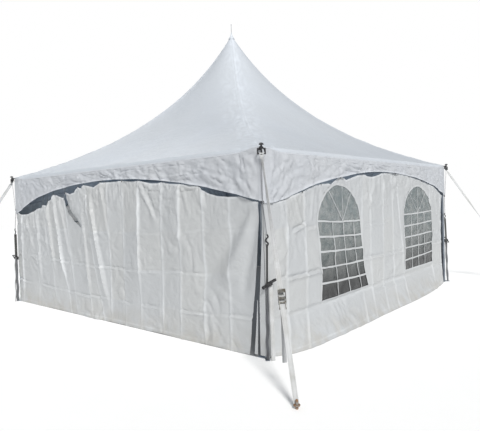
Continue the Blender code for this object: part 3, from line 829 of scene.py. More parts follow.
def roof_place(t, angle):
    """Points of the roof at shares t of the way out, square at the eave, round at the peak."""
    squared = math.sqrt(2) * np.maximum(np.abs(np.cos(angle)), np.abs(np.sin(angle)))
    radius = t * DIAGONAL / (1 + t ** SQUARENESS * (squared - 1))
    return np.stack([radius * np.cos(angle), radius * np.sin(angle), roof_height(t)], -1)


def eave_drop(s):
    """How far the cloth rolls down over the rail before the valance starts."""
    return EAVE_ROLL * (1 - fade(0.86, 0.985, np.abs(s) / HALF))


def roll(t):
    near = np.clip((t - ROLL_FROM) / (1 - ROLL_FROM), 0, 1)
    return 1 - np.sqrt(1 - near ** 2)


def roof():
    """One stretched skin: hips that crinkle, loose cloth by the eaves, seams between panels."""
    share = (np.arange(ROOF_COLUMNS) + 0.5) / ROOF_COLUMNS * 2 - 1
    along = HALF * (0.6 * share + 0.4 * np.sin(share * np.pi / 2))
    angles = np.concatenate([np.arctan2(along, HALF) + turn * QUARTER for turn in range(4)])
    first = PEAK_HOLE / DIAGONAL
    t = first + (ROLL_FROM - first) * np.linspace(0, 1, ROOF_RINGS) ** 1.25
    t = np.concatenate([t, ROLL_FROM + (1 - ROLL_FROM) * np.sin(np.linspace(0, QUARTER, 7))[1:]])
    t, angle = np.meshgrid(t, angles, indexing="ij")
    points = roof_place(t, angle)
    from_side = np.abs(((angle + QUARTER / 2) % QUARTER) - QUARTER / 2)
    hip = (QUARTER / 2 - from_side) * t * DIAGONAL
    side = np.tile(along, 4) * t
    number = np.repeat(np.arange(4), ROOF_COLUMNS) + 0 * t
    slope = (1 - t) * 4.0
    by_eave = fade(0.80, 0.97, t) * (1 - fade(0.985, 1.0, t))
    relief = 0.010 * by_eave * noise(side * 2.2 + 11 * number, slope * 0.9 + 5, 71)
    gathers = np.abs(noise(side * 6.5 + 17 * number, slope * 1.3, 72))
    relief -= 0.010 * gathers * by_eave * fade(-0.2, 0.5, noise(side * 0.9, number * 3.1, 73))
    crinkle = bell(hip, 0.30) * crumple(slope, hip * 1.2 + 3 * number, 0.16, 74)
    relief -= 0.016 * crinkle * fade(0.25, 0.60, t) * (1 - fade(0.95, 1.0, t))
    wide = crumple(side + 9 * number, slope, 0.75, 75)
    relief += 0.006 * (wide - 0.4) * fade(0.15, 0.4, t) * (1 - fade(0.97, 1.0, t))
    relief += 0.0025 * np.exp(-(hip / 0.024) ** 4)
    relief *= 1 - fade(0.985, 1.0, t)
    points = points - grid_normals(points, True) * relief[..., None]
    points[..., 2] -= eave_drop(side) * roll(t)
    # Painted highlight along each hip and over its crinkles, where light catches them.
    crease_whitening_and_highlight = np.clip(bell(hip - 0.026, 0.007) * 0.35 + crinkle * 0.5, 0, 1)
    facts = lay(side, slope, crease_whitening_and_highlight, noise(side * 1.2 + 7 * number, slope * 0.8, 76))
    piece = show_cloth("roof_skin", points, facts, ROOF_VINYL, "roof_vinyl", "roof_canopy",
                       wrap=True, flip=True)


def eave_hem():
    """The sewn edge of the roof, turned down over the tops of the valances."""
    out, drop = np.array(HEM_PROFILE).T[..., None]
    s = np.linspace(-HALF + 0.004, HALF - 0.004, 260)
    for turns, side in enumerate(SIDES):
        wavy = 0.004 * noise(s * 5, s * 0 + turns, 81) + 0.003 * noise(s * 13, s * 0 + turns, 83)
        grid_out = CLOTH + GAP + out + np.maximum(wavy, -0.001) * fade(-0.004, 0.003, out)
        grid_z = EAVE + drop - eave_drop(s) + 0.003 * noise(s * 7, s * 0 + turns, 82)
        grid_z -= 0.1 * fade(-0.003, 0.003, out) * eave_drop(s)
        grid_s = s + 0 * grid_z
        points = side_points(turns, grid_s, grid_out, grid_z)
        show_cloth(f"eave_hem_{side}", points, lay(grid_s, grid_z, 0.35), VALANCE_VINYL, "valance_vinyl")


# Valances

RIGHT_LOW = (               # lower edge of the right valance, where it hangs out of true
    (-3.05, 1.765), (-2.89, 1.768), (-2.76, 1.784), (-2.43, 1.862), (-2.01, 1.969), (-1.35, 2.077),
    (-0.75, 2.150), (-0.20, 2.187), (0.11, 2.193), (0.83, 2.173), (1.40, 2.128), (2.10, 2.029),
    (2.55, 1.944), (2.80, 1.850), (3.05, 1.775),
)
VALANCE_HEM = 0.028
NOTCH_FROM = HALF - 0.035
NOTCH_Z = 2.360


def plain_low(s):
    return VALANCE_MIDDLE - (VALANCE_MIDDLE - VALANCE_CORNER) * (s / HALF) ** 2


def area_under(heights, places):
    return float(np.sum((heights[1:] + heights[:-1]) / 2 * np.diff(places)))


def smooth_through(points, s):
    """A smooth curve through points, by a natural pull between neighbouring slopes."""
    x, y = np.array(points).T
    slopes = np.gradient(y, x)
    i = np.clip(np.searchsorted(x, s) - 1, 0, len(x) - 2)
    width = x[i + 1] - x[i]
    a = np.clip((s - x[i]) / width, 0, 1)
    start = (1 + 2 * a) * (1 - a) ** 2 * y[i] + a * (1 - a) ** 2 * width * slopes[i]
    return start + a * a * (3 - 2 * a) * y[i + 1] + a * a * (a - 1) * width * slopes[i + 1]


def valance_low(side, s):
    return smooth_through(RIGHT_LOW, s) if side == "right" else plain_low(s)


def valance(turns, side, columns, rows):
    """A hanging border of crumpled vinyl with a rolled hem along its arch."""
    outer = turns % 2 == 0
    reach = HALF if outer else HALF - CLOTH - GAP
    seed = 100 + 10 * turns
    line = np.linspace(-reach, reach, columns)
    low = valance_low(side, line) + 0.004 * noise(line * 3.1, line * 0, 90 + turns)
    if side in ("front", "left"):
        low = low - 0.09 * fade(2.1, 3.0, -line if side == "front" else line)
    top = np.where(np.abs(line) > NOTCH_FROM, NOTCH_Z, EAVE - ROOF_DROP - GAP - eave_drop(line))
    z = low + (top - low) * np.linspace(0, 1, rows)[:, None] ** 0.9
    s = line + 0 * z
    above = z - low
    under = top - z
    from_end = reach - np.abs(s)
    above_end = z - VALANCE_CORNER + 0.10
    angle = np.arctan2(above_end, from_end) + 3 * (s > 0)
    away = np.hypot(above_end, from_end)
    by_end = np.exp(-away / 1.1)
    radial, long, calm = (0.034, 0.42, 1.0) if outer else (0.046, 0.28, 0.86)
    relief = radial * by_end * (crumple(angle * 0.50, away * 0.30, 0.10, seed) - 0.22)
    creased = crumple(s * long + z * 0.25, z * 1.1 * calm, 0.15, seed + 5) - 0.22
    relief += 0.048 * (1 - by_end) * creased
    creased = crumple(s * 0.6 * calm + z * 0.8, z * 0.5 - s * 0.35, 0.15, seed + 7) - 0.25
    relief += 0.026 * creased + 0.012 * noise(s * 1.7, z * 1.7, seed + 8)
    relief -= 0.008 * bell(under - 0.060 - 0.02 * noise(s * 2, z * 0, seed + 6), 0.008)
    relief *= fade(-0.02, 0.07, under) * fade(0.0, 0.16, from_end)
    hem = 1 - fade(VALANCE_HEM - 0.004, VALANCE_HEM + 0.004, above)
    relief = relief * (1 - 0.35 * hem) + 0.003 * hem + 0.003 * bell(above, 0.006)
    by_corner = bell(from_end - 0.030, 0.007)
    relief += 0.0016 * by_corner - 0.0015 * bell(above - VALANCE_HEM, 0.004)
    relief = np.maximum(relief, -0.003 - 0.002 * fade(0.0, 0.2, above))
    # Painted highlight along the hem and the corner fold.
    crease_whitening_and_highlight = np.clip(0.4 * hem + 0.4 * by_corner, 0, 1)
    piece = show_cloth(f"valance_cloth_{side}", side_points(turns, s, relief + CLOTH + GAP, z),
                       lay(s, z, crease_whitening_and_highlight, noise(s * 2.2, z * 2.0, seed + 9)),
                       VALANCE_VINYL, "valance_vinyl", f"valance_{side}")


# Walls

FRONT_TOP = (               # upper edge of the front wall, from hook to hook
    (-2.995, 1.745), (-2.85, 1.695), (-2.69, 1.681), (-2.51, 1.692), (-2.26, 1.754),
    (-2.205, 1.783), (-2.01, 1.803), (-1.965, 1.848), (-1.83, 1.833), (-1.805, 1.913),
    (-1.64, 1.941), (-1.60, 2.018), (-1.47, 2.003), (-1.225, 1.940), (-1.202, 2.048),
    (-1.03, 2.009), (-0.888, 2.036), (-0.783, 2.126), (-0.689, 2.090), (-0.618, 2.144),
    (-0.461, 2.121), (-0.30, 2.089), (-0.244, 2.116), (-0.118, 2.156), (0.15, 2.150),
    (0.42, 2.157), (0.62, 2.136), (0.84, 2.134), (1.107, 2.083), (1.284, 2.078), (1.324, 2.090),
    (1.50, 2.058), (1.698, 2.045), (2.036, 2.004), (2.112, 1.945), (2.21, 1.902), (2.36, 1.866),
    (2.537, 1.852), (2.717, 1.850), (2.906, 1.790), (2.995, 1.782),
)
FRONT_HOOKS = (-1.96, -1.80, -1.60, -1.20, -0.783, -0.618, -0.118, 0.42, 0.84, 1.324, 1.698, 2.036)
RIGHT_TOP = (
    (-2.995, 1.770), (-2.76, 1.776), (-2.57, 1.826), (-2.23, 1.900), (-2.01, 1.961),
    (-1.78, 1.991), (-1.61, 1.996), (-1.56, 1.979), (-1.48, 2.019), (-1.35, 2.073),
    (-1.26, 2.092), (-1.21, 2.088), (-1.10, 2.050), (-0.93, 2.089), (-0.75, 2.124),
    (-0.62, 2.137), (-0.54, 2.138), (-0.48, 2.116), (-0.33, 2.104), (-0.12, 2.132),
    (0.06, 2.170), (0.50, 2.190), (1.00, 2.165), (1.60, 2.105), (2.10, 2.030), (2.37, 1.985),
    (2.55, 1.930), (2.77, 1.850), (2.90, 1.815), (2.995, 1.790),
)
RIGHT_HOOKS = (-2.23, -1.78, -1.26, -0.58, 0.06, 0.60, 1.20, 1.80, 2.37)
SLIT = (                    # its line, and the line of the grid that runs on below it
    (-1.205, 2.06), (-1.200, 1.951), (-1.148, 1.831), (-1.037, 1.690), (-0.887, 1.562),
    (-0.719, 1.458), (-0.73, 1.20), (-0.95, 0.60), (-0.96, 0.0),
)
SLIT_BASE = -0.96
SLIT_PULL = 0.45            # how far from the slit the grid is bent, and is spread
SLIT_SPREAD = 0.15
SLIT_CLOSED = 0.003
SLIT_WIDTHS = (             # heights, widths
    (1.455, 1.50, 1.58, 1.70, 1.84, 1.93, 1.99), (0.0, 0.024, 0.042, 0.040, 0.022, 0.010, 0.006),
)
FRONT_UPRIGHTS = (          # fold lines: place at 2 m up, place at the foot
    (-2.72, -2.89), (-2.23, -2.24), (-1.88, -1.60), (-1.62, -1.14), (-1.24, -0.94), (-0.76, -0.46),
    (-0.57, -0.16), (0.05, 0.02), (0.42, 0.39), (0.82, 0.76), (1.31, 1.24), (1.68, 1.62),
    (2.09, 2.07), (2.54, 2.50),
)
FRONT_LEVELS = ((0.37, 0.009), (0.87, 0.010), (1.40, 0.012))
RIGHT_UPRIGHTS = (
    (-2.62, -2.62), (-2.18, -2.22), (-0.60, -0.70), (-0.37, -0.37), (0.09, 0.06),
    (0.46, 0.46), (0.70, 0.88), (2.15, 2.26), (2.73, 2.73),
)
RIGHT_CREASES = (           # short level creases: start, end, height
    ((-2.60, 0.868), (-1.85, 0.880), 0.012), ((-0.58, 0.893), (0.86, 0.856), 0.008),
    ((-2.49, 1.43), (-2.16, 1.51), 0.014), ((-2.14, 1.44), (-1.94, 1.438), 0.010),
    ((-0.31, 0.355), (0.83, 0.375), 0.010), ((-0.92, 0.40), (-0.58, 0.40), 0.008),
    ((-0.56, 1.39), (0.30, 1.40), 0.006),
)
RIGHT_GATHERS = (           # start, end
    ((-2.70, 1.74), (-2.55, 1.25)), ((-2.40, 1.82), (-2.20, 1.30)), ((-1.95, 1.93), (-2.05, 1.50)),
    ((-0.55, 2.10), (-0.36, 1.60)), ((-0.20, 2.08), (-0.42, 1.62)), ((0.05, 2.13), (0.22, 1.70)),
    ((0.62, 2.13), (0.48, 1.72)), ((2.40, 1.93), (2.55, 1.40)),
)
FRONT_FOLDS = (             # start, end, width, height, lean
    ((0.852, 2.096), (1.212, 1.546), 0.034, 0.022, 0.6),
    ((1.013, 1.93), (1.20, 1.57), 0.034, -0.018, 0.0),
    ((0.93, 1.986), (1.29, 1.968), 0.013, -0.014, 0.0),
    ((1.716, 2.036), (1.963, 1.967), 0.016, 0.012, 0.0),
    ((1.963, 1.967), (1.723, 1.940), 0.014, -0.014, 0.0),
    ((2.93, 1.76), (2.05, 0.75), 0.13, -0.030, 0.3),
    ((2.96, 1.74), (2.45, 0.80), 0.10, 0.034, 0.3),
    ((2.98, 1.70), (2.72, 0.70), 0.07, -0.030, 0.3),
    ((2.90, 1.80), (2.10, 1.30), 0.06, 0.012, 0.3),
)
FRONT_DRAPES = (            # start, end, width, height
    ((-2.62, 1.67), (-2.35, 1.00), 0.09, 0.022), ((-2.19, 1.76), (-2.14, 0.50), 0.12, 0.034),
    ((-1.98, 1.78), (-1.86, 0.95), 0.07, 0.020), ((-1.83, 1.86), (-1.64, 0.70), 0.10, 0.036),
    ((-1.59, 1.98), (-1.29, 0.55), 0.12, 0.042), ((-1.42, 1.97), (-1.12, 0.95), 0.08, 0.024),
    ((-0.70, 1.80), (-0.49, 0.40), 0.10, 0.030), ((-0.42, 1.95), (-0.06, 0.30), 0.17, 0.056),
    ((-0.10, 2.13), (0.03, 1.30), 0.07, 0.018), ((0.80, 2.06), (0.78, 0.60), 0.20, 0.022),
    ((1.66, 2.02), (1.65, 1.30), 0.12, 0.016),
)
RIGHT_LEVELS = ((0.40, 0.0), (0.88, 0.0), (1.45, 0.0))
PLAIN_LEVELS = ((0.40, 0.0), (0.88, 0.005), (1.42, 0.005))
EDGES = {                   # heights, and how far out the two upright edges hang there
    "front": ((0.03, 0.49, 0.81, 1.10, 1.80), (3.04, 3.04, 3.04, 3.035, 3.03),
              (2.787, 2.85, 2.90, 2.935, 2.985)),
    "right": ((0.10, 0.33, 0.85, 1.50, 1.80), (3.04,) * 5, (2.84, 2.77, 2.755, 2.80, 2.85)),
    "plain": ((0.0, 1.8), (3.03, 3.03), (3.03, 3.03)),
}
TURNED_EDGE = ((0.03, 2.951), (0.67, 2.962), (0.81, 2.975), (1.49, 3.030), (1.765, 3.036))
FOOT_FLAP = ((0.03, 2.862, 2.910), (0.35, 2.900, 2.925), (0.66, 2.928, 2.934))


def plain_uprights(seed):
    rng = np.random.default_rng(seed)
    places = np.arange(-2.6, 2.7, 0.43)
    return [(p + rng.uniform(-0.05, 0.05), p + rng.uniform(-0.08, 0.08)) for p in places]


def plain_top(s):
    """An edge tucked behind the valance's hem."""
    return plain_low(s) + 0.022


def window_middle(number, z):
    heights, left, right = WINDOW_EDGES[number]
    middle = (np.interp(z, heights, left) + np.interp(z, heights, right)) / 2
    return middle + ARCH_LEAN[number] * np.maximum(z - WINDOW_SPRING, 0)


def window_half(number, z):
    heights, left, right = WINDOW_EDGES[number]
    return (np.interp(z, heights, right) - np.interp(z, heights, left)) / 2


def window_rise(number):
    return WINDOW_TOP + WINDOW_LIFT[number] - WINDOW_SPRING


def arch_reach(number, across, up):
    """1 on the outline of an arch whose half width and rise are 1."""
    power = np.where(across < 0, *ARCH_POWERS[number])
    return (np.abs(across) ** power + np.abs(up) ** power) ** (1 / power)


def arch_area(number):
    """Area of that arch."""
    return sum(math.gamma(1 + 1 / p) ** 2 / math.gamma(1 + 2 / p) for p in ARCH_POWERS[number])


def in_window(number, s, z):
    """How far a point is inside a window's outline, as moved by the hang of the cloth."""
    half = window_half(number, z)
    ds = s - window_middle(number, z)
    up = np.maximum(z - WINDOW_SPRING, 0)
    arch = arch_reach(number, ds / half, up / window_rise(number))
    return np.minimum((1 - arch) * half, z - WINDOW_SILLS[number])


def snap_to_window(number, s, z):
    """Move points to the nearest place on a window's outline."""
    sill = WINDOW_SILLS[number]
    half = window_half(number, z)
    centre = window_middle(number, z)
    ds = s - centre
    up = np.maximum(z - WINDOW_SPRING, 0)
    arch = np.maximum(arch_reach(number, ds / half, up / window_rise(number)), 1e-6)
    low = (np.abs(z - sill) < np.abs((1 - arch) * half)) & (z < WINDOW_SPRING)
    new_s = np.where(low, np.clip(s, centre - half, centre + half), centre + ds / arch)
    new_z = np.where(z > WINDOW_SPRING, WINDOW_SPRING + up / arch, z)
    return new_s, np.where(low, sill, new_z)


def slit_off(s, z):
    """Distance of a point to one side of the slit's line, and half the slit's width there."""
    places, heights = np.array(SLIT[::-1]).T
    return s - np.interp(z, heights, places), np.interp(z, *SLIT_WIDTHS) / 2


def open_slit(s, z):
    """Bend the grid so that two neighbouring columns follow the slit, and say which cells go."""
    left = int(np.searchsorted(s[0], SLIT_BASE)) - 1
    pair = s[:, left:left + 2]
    off, half = slit_off(pair, z[:, left:left + 2])
    middle = off.mean(axis=1, keepdims=True)
    base = pair.mean(axis=1, keepdims=True)
    spare = half.mean(axis=1, keepdims=True) + 0.0003 - (pair[:, 1:] - pair[:, :1]) / 2
    side = np.where(s > base, 1.0, -1.0)
    spread = side * spare * np.exp(-np.abs(s - base) / SLIT_SPREAD)
    moved = s - middle * bell(s - base, SLIT_PULL) + spread
    keep = np.ones((s.shape[0] - 1, s.shape[1] - 1), bool)
    keep[:, left] = half[1:, 0] + half[:-1, 0] <= SLIT_CLOSED
    return moved, keep


def flare(s, z):
    """How far a side wall's foot stands out."""
    share = s / WALL_HALF_FOOT
    power = np.where(share < 0, *FLARE_POWERS)
    bow = np.maximum(1 - np.abs(share) ** power, 0)
    down = np.clip((FLARE_KNEE - z) / (FLARE_KNEE - WALL_FOOT), 0, 1)
    return FLARE * bow * down


def wall_relief(side, s, z, top, hooks):
    """Relief of one wall in metres out from its face, the strength of its painted highlight along creases,
    and its tone by panel as painted facet shade.
    """
    if side == "front":
        relief, crease_whitening_and_highlight, tone_and_facet_shade = folded(s, z, FRONT_UPRIGHTS, FRONT_LEVELS, 301, 0.020)
    elif side == "right":
        relief, crease_whitening_and_highlight, tone_and_facet_shade = folded(s + 1.2 * flare(s, z), z, RIGHT_UPRIGHTS, RIGHT_LEVELS, 302, 0.016)
    else:
        seed = 303 if side == "back" else 304
        relief, crease_whitening_and_highlight, tone_and_facet_shade = folded(s, z, plain_uprights(seed), PLAIN_LEVELS, seed, 0.016)
    seed = 310 + 10 * SIDES.index(side)
    patches = fade(-0.15, 0.5, noise(s * 1.1, z * 1.3, seed))
    relief += (0.008 + 0.018 * patches) * (crumple(s, z, 0.26, seed + 1) - 0.33)
    relief += 0.014 * noise(s * 1.4, z * 0.5, seed + 2)
    below = top - z
    gathers = crumple(s, z * 0.28 + s * 0.25, 0.085, seed + 3) - 0.35
    relief += (0.014 if side == "right" else 0.026) * gathers * (1 - fade(0.05, 0.60, below))
    for i, hook in enumerate(hooks):
        relief += fan(s, z, hook, np.interp(hook, s[-1], top[-1]), seed + i)
    if side == "front":
        relief *= 1 - 0.75 * fade(1.95, 2.35, s - 0.25 * (z - 1.4)) * fade(0.5, 0.9, z)
        relief += front_folds(s, z)
    if side == "right":
        relief += right_folds(s, z)
        # Painted highlight along the knee above the flare, which the light alone leaves unseen; the fold
        # lines' highlight is weaker on this wall.
        broken = fade(-0.6, 0.3, noise(s * 1.6, z * 0 + 0.5, seed + 9))
        crease_whitening_and_highlight = np.maximum(crease_whitening_and_highlight * 0.6, 0.45 * broken * bell(z - 0.402, 0.011))
    relief += 0.0015 * (1 - fade(0.050, 0.056, z))
    # Painted highlight along a line near the foot and along the top edge.
    crease_whitening_and_highlight = np.maximum(crease_whitening_and_highlight, 0.5 * bell(z - 0.052, 0.005))
    crease_whitening_and_highlight = np.maximum(crease_whitening_and_highlight, 0.5 * (1 - fade(0.020, 0.030, below)))
    limit = fade(0.0, 0.10, WALL_HALF_TOP - np.abs(s))
    relief = np.where(relief > 0, relief * (0.15 + 0.85 * limit), relief)
    behind = fade(-0.07, 0.03, z - valance_low(side, s))
    relief = relief - behind * np.maximum(relief + 0.004, 0)
    if side in WINDOWED:
        relief = relief + flare(s, z)
    return relief, np.clip(crease_whitening_and_highlight, 0, 1), tone_and_facet_shade


def front_folds(s, z):
    """The larger loose folds of the front wall."""
    relief = sum(stroke(s, z, *fold) for fold in FRONT_FOLDS)
    relief += sum(drape(s, z, *fold) for fold in FRONT_DRAPES)
    relief += 0.020 * bell(s - line_at((-2.76, -2.90), z), 0.030) * fade(0.0, 0.4, z)
    off, half = slit_off(s, z)
    near = fade(1.44, 1.56, z) * (1 - fade(1.98, 2.04, z))
    near = near * np.exp(-np.maximum(np.abs(off) - half, 0) / 0.05)
    return relief + np.where(off < 0, 0.016, -0.024) * near


def right_folds(s, z):
    """The right wall's slanting fold, the line above its flare, its level creases and gathers."""
    relief = stroke(s, z, (0.35, 2.12), (0.72, 1.80), 0.026, -0.018, 0.5)
    relief += stroke(s, z, (-2.80, 0.425), (2.60, 0.435), FOLD_WIDTH, -0.014)
    for start, end, height in RIGHT_CREASES:
        for drop, rise in ((0.0, -1.5 * height), (0.034, 1.5 * height)):
            ends = (start[0], start[1] - drop), (end[0], end[1] - drop)
            relief += stroke(s, z, *ends, FOLD_WIDTH, rise)
    for start, end in RIGHT_GATHERS:
        relief += stroke(s, z, start, end, 0.026, 0.016, 0.5)
    return relief


def wall_edge_s(share, z, side):
    """Places along a side: where the wall's upright edges hang."""
    heights, near, far = EDGES.get(side, EDGES["plain"])
    edge = np.where(share < 0, np.interp(z, heights, near), np.interp(z, heights, far))
    return share * WALL_HALF_FOOT + np.sign(share) * (edge - WALL_HALF_FOOT) * np.abs(share) ** 8


def boundary(keep):
    """Grid corners that lie between cells that stay and cells that go."""
    rows, columns = keep.shape
    stays = np.zeros((rows + 1, columns + 1), bool)
    goes = np.zeros((rows + 1, columns + 1), bool)
    for i in (0, 1):
        for j in (0, 1):
            stays[i:rows + i, j:columns + j] |= keep
            goes[i:rows + i, j:columns + j] |= ~keep
    return stays & goes


def wall(turns, side, columns, rows, top_of, hooks):
    """A hung wall with its openings. Returns a function that gives points on its surface."""
    share = np.linspace(-1, 1, columns)
    v = np.linspace(0, 1, rows)[:, None]
    top = top_of(share * WALL_HALF_TOP)
    z = WALL_FOOT + (top - WALL_FOOT) * v
    s = wall_edge_s(share + 0 * z, z, side)
    keep = np.ones((rows - 1, columns - 1), bool)
    if side == "front":
        for _ in range(3):
            bent, keep = open_slit(s, z)
            top = top_of(bent[-1])
            z = WALL_FOOT + (top - WALL_FOOT) * v
        s = bent
    area = area_under(top - WALL_FOOT, share * WALL_HALF_TOP)
    middle_s = (s[:-1, :-1] + s[1:, 1:]) / 2
    middle_z = (z[:-1, :-1] + z[1:, 1:]) / 2
    for number in WINDOWS if side in WINDOWED else ():
        inside = in_window(number, middle_s, middle_z) > 0
        keep &= ~inside
        edge = boundary(~inside)
        new_s, new_z = snap_to_window(number, s, z)
        s = np.where(edge, new_s, s)
        z = np.where(edge, new_z, z)
        height = 2 * (WINDOW_SPRING - WINDOW_SILLS[number]) + arch_area(number) * window_rise(number)
        area -= float(window_half(number, 1.0)) * height
    relief, crease_whitening_and_highlight, tone_and_facet_shade = wall_relief(side, s, z, top + 0 * z, hooks)
    piece = show_cloth(f"wall_cloth_{side}", side_points(turns, s, relief, z), lay(s, z, crease_whitening_and_highlight, tone_and_facet_shade),
                       WALL_VINYL, "wall_vinyl", f"wall_{side}", keep=keep)

    def surface(at_s, at_z, out=0.0):
        """Points on the wall's outer face, or a little in front of it."""
        relief = wall_relief(side, at_s, at_z, top_of(at_s[-1]) + 0 * at_s, ())[0]
        return side_points(turns, at_s, relief + out, at_z)

    return surface


# Windows

def window_frame_point(number, a, b):
    """A point in a window: a from -1 to 1 across, b a height."""
    return window_middle(number, b) + a * window_half(number, b), b


def pane(turns, side, number, surface):
    """A clear pane behind its opening, drawn as bowed rows that end at the outline."""
    low = WINDOW_SILLS[number] - PANE_LAP
    high = WINDOW_SPRING + window_rise(number) + PANE_LAP
    rise = high - WINDOW_SPRING
    a, z = np.meshgrid(np.linspace(-1, 1, 41), np.linspace(low, high - 0.002, 55))
    half = window_half(number, z) + PANE_LAP
    power = np.where(a < 0, *ARCH_POWERS[number])
    up = np.maximum(z - WINDOW_SPRING, 0) / rise
    a = a * np.maximum(1 - up ** power, 1e-5) ** (1 / power)
    s = window_middle(number, z) + a * half
    bulge = 0.008 * noise(s * 1.9, z * 1.9, 400 + number + 2 * turns)
    bulge = np.minimum(bulge + 0.003 * noise(s * 5, z * 5, 410 + number) - 0.003, 0)
    bulge *= np.clip(in_window(number, s, z) / 0.15, 0, 1)
    outward = side_points(turns, s * 0, 1.0 - WALL_FACE, z * 0)
    points = surface(s, z) + outward * (bulge - VINYL - 0.0015)[..., None]
    facts = {"cloth": lay(s, z)["cloth"]}
    piece = show_cloth(f"pane_{side}_{number + 1}", points, facts, CLEAR, "clear_vinyl",
                       f"window_{side}_{number + 1}", thickness=PANE_VINYL)
    half = float(half.mean())
    area = half * (2 * (WINDOW_SPRING - low) + arch_area(number) * rise)


def band_on(surface, route, width, out, seed, wavy=0.004):
    """A flat strip of vinyl along a route of (s, z) on a wall."""
    route = np.array(route, float)
    steps = np.concatenate([[0], np.cumsum(np.hypot(*np.diff(route, axis=0).T))])
    ahead = unit(np.gradient(route, axis=0))
    across = np.stack([-ahead[:, 1], ahead[:, 0]], -1)
    sway = wavy * noise(steps * 6.0, steps * 0 + 0.5, seed)
    grow = 1 + 0.22 * noise(steps * 4.0, steps * 0 + 2.5, seed)
    offset = sway + np.linspace(-0.5, 0.5, 4)[:, None] * width * grow
    s, z = np.moveaxis(route + across * offset[..., None], -1, 0)
    return closed_sheet("band", surface(s, z, out), VINYL, lay(s, z, 0.2), flip=True)


def on_arch(number, angle):
    """A point of an arch whose half width and rise are 1."""
    power = ARCH_POWERS[number][0 if math.cos(angle) < 0 else 1]
    across = math.copysign(abs(math.cos(angle)) ** (2 / power), math.cos(angle))
    return across, abs(math.sin(angle)) ** (2 / power)


def window_bars(number, surface):
    """White strips over the pane: a grid below and a fan in the arch, and the sewn border."""
    sill = WINDOW_SILLS[number]
    spring = LADDERS[number][-1][0]
    rise = window_rise(number)
    routes = []
    a = np.linspace(-1.0, 1.0, 34)
    for height, tilt in LADDERS[number]:
        s = window_frame_point(number, a, height)[0]
        routes.append(np.stack([s, height + tilt * a / 2 - 0.006 * np.cos(a * 2)], -1))
    z = np.linspace(sill, spring, 28)
    for a in BAR_UPRIGHTS[number]:
        routes.append(np.stack(window_frame_point(number, a + 0.02 * np.sin(z * 4), z), -1))
    start = routes[-2][-1]
    for angle in FAN_ANGLES[number]:
        across, up = on_arch(number, math.radians(angle))
        end = np.array(window_frame_point(number, across, WINDOW_SPRING + up * rise))
        routes.append(start + np.linspace(0, 1, 16)[:, None] * (end - start))
    for i, route in enumerate(routes):
        across, out = (BAR_WIDTHS[0], 0.0012) if i < 5 else (BAR_WIDTHS[1 if i < 8 else 2], 0.0026)
        yield band_on(surface, route, across, out, 430 + i + 20 * number)
    outline = [(a, sill) for a in np.linspace(-1, 1, 26)]
    outline += [(1, z) for z in np.linspace(sill, WINDOW_SPRING, 24)[1:]]
    for angle in np.linspace(0, np.pi, 40)[1:]:
        across, up = on_arch(number, angle)
        outline.append((across, WINDOW_SPRING + rise * up))
    outline += [(-1, z) for z in np.linspace(WINDOW_SPRING, sill, 24)[1:]]
    route = [window_frame_point(number, a, z) for a, z in outline]
    yield band_on(surface, route, BORDER, 0.0022, 470 + number, wavy=0.0)


def merged(name, meshes):
    """One mesh from several, with their attributes."""
    things = [placed(name, mesh) for mesh in meshes]
    with bpy.context.temp_override(active_object=things[0], object=things[0],
                                   selected_objects=things, selected_editable_objects=things):
        bpy.ops.object.join()
    mesh = things[0].data
    bpy.data.objects.remove(things[0], do_unlink=True)
    return mesh


def windows(turns, side, surface):
    for number in WINDOWS:
        pane(turns, side, number, surface)
        mesh = merged("bars", window_bars(number, surface))
        show(f"window_bars_{side}_{number + 1}", mesh, WALL_VINYL, "wall_vinyl")


# Hooks along the tops of the walls

HOOK_WIRE = 0.0025
EYELET = 0.009
EYELET_RIM = 0.0022


def wall_hooks(turns, side, hooks, top_of):
    """Bent wire hooks from the valance's hem to the eyelets of the wall."""
    parts = []
    share = np.linspace(0, 1, 25)
    angle = np.arange(10) * 2 * np.pi / 10
    for hook in hooks:
        high = float(valance_low(side, hook)) + 0.012
        low = float(top_of(hook)) - 0.014
        sway = 0.008 * np.sin(share * 2 * np.pi)
        curl = 0.007 * np.cos(share * np.pi) ** 6
        route = side_points(turns, hook + sway, curl * 0.4 - 0.004, high + (low - high) * share)
        parts.append(tube_parts(route, HOOK_WIRE, 6))
        for z in (high, low):
            eyelet = side_points(turns, hook + EYELET * np.cos(angle), -0.0015, z + EYELET * np.sin(angle))
            parts.append(tube_parts(eyelet, EYELET_RIM, 6, closed=True))
    show(f"wall_hooks_{side}", parts, RATCHET_STEEL, "ratchet_steel")


def narrow_strip(name, z, left, right, columns, lift, sway):
    """A strip of the walls' cloth on the front side, between two upright edges."""
    across = np.linspace(0, 1, columns)
    s = left[:, None] + (right - left)[:, None] * across
    grid_z = z[:, None] + 0 * s
    out = lift + sway * noise(grid_z * 2.5, s * 4, 351) * (1 - across)
    piece = show_cloth(name, side_points(0, s, out, grid_z), lay(s, grid_z, 0.2),
                       WALL_VINYL, "wall_vinyl")


def corner_cloths():
    """The right wall's edge turned round the near corner, and a loose flap at the leg's foot."""
    heights, edge = np.array(TURNED_EDGE).T
    z = np.linspace(heights[0], heights[-1], 60)
    right = WALL_FACE - 0.002 + 0 * z
    narrow_strip("wall_turn_right", z, np.interp(z, heights, edge), right, 9, 0.002, 0.004)
    heights, left, right = np.array(FOOT_FLAP).T
    z = np.linspace(heights[0], heights[-1], 30)
    narrow_strip("wall_flap_front", z, np.interp(z, heights, left), np.interp(z, heights, right), 5,
                 0.001, 0.0)


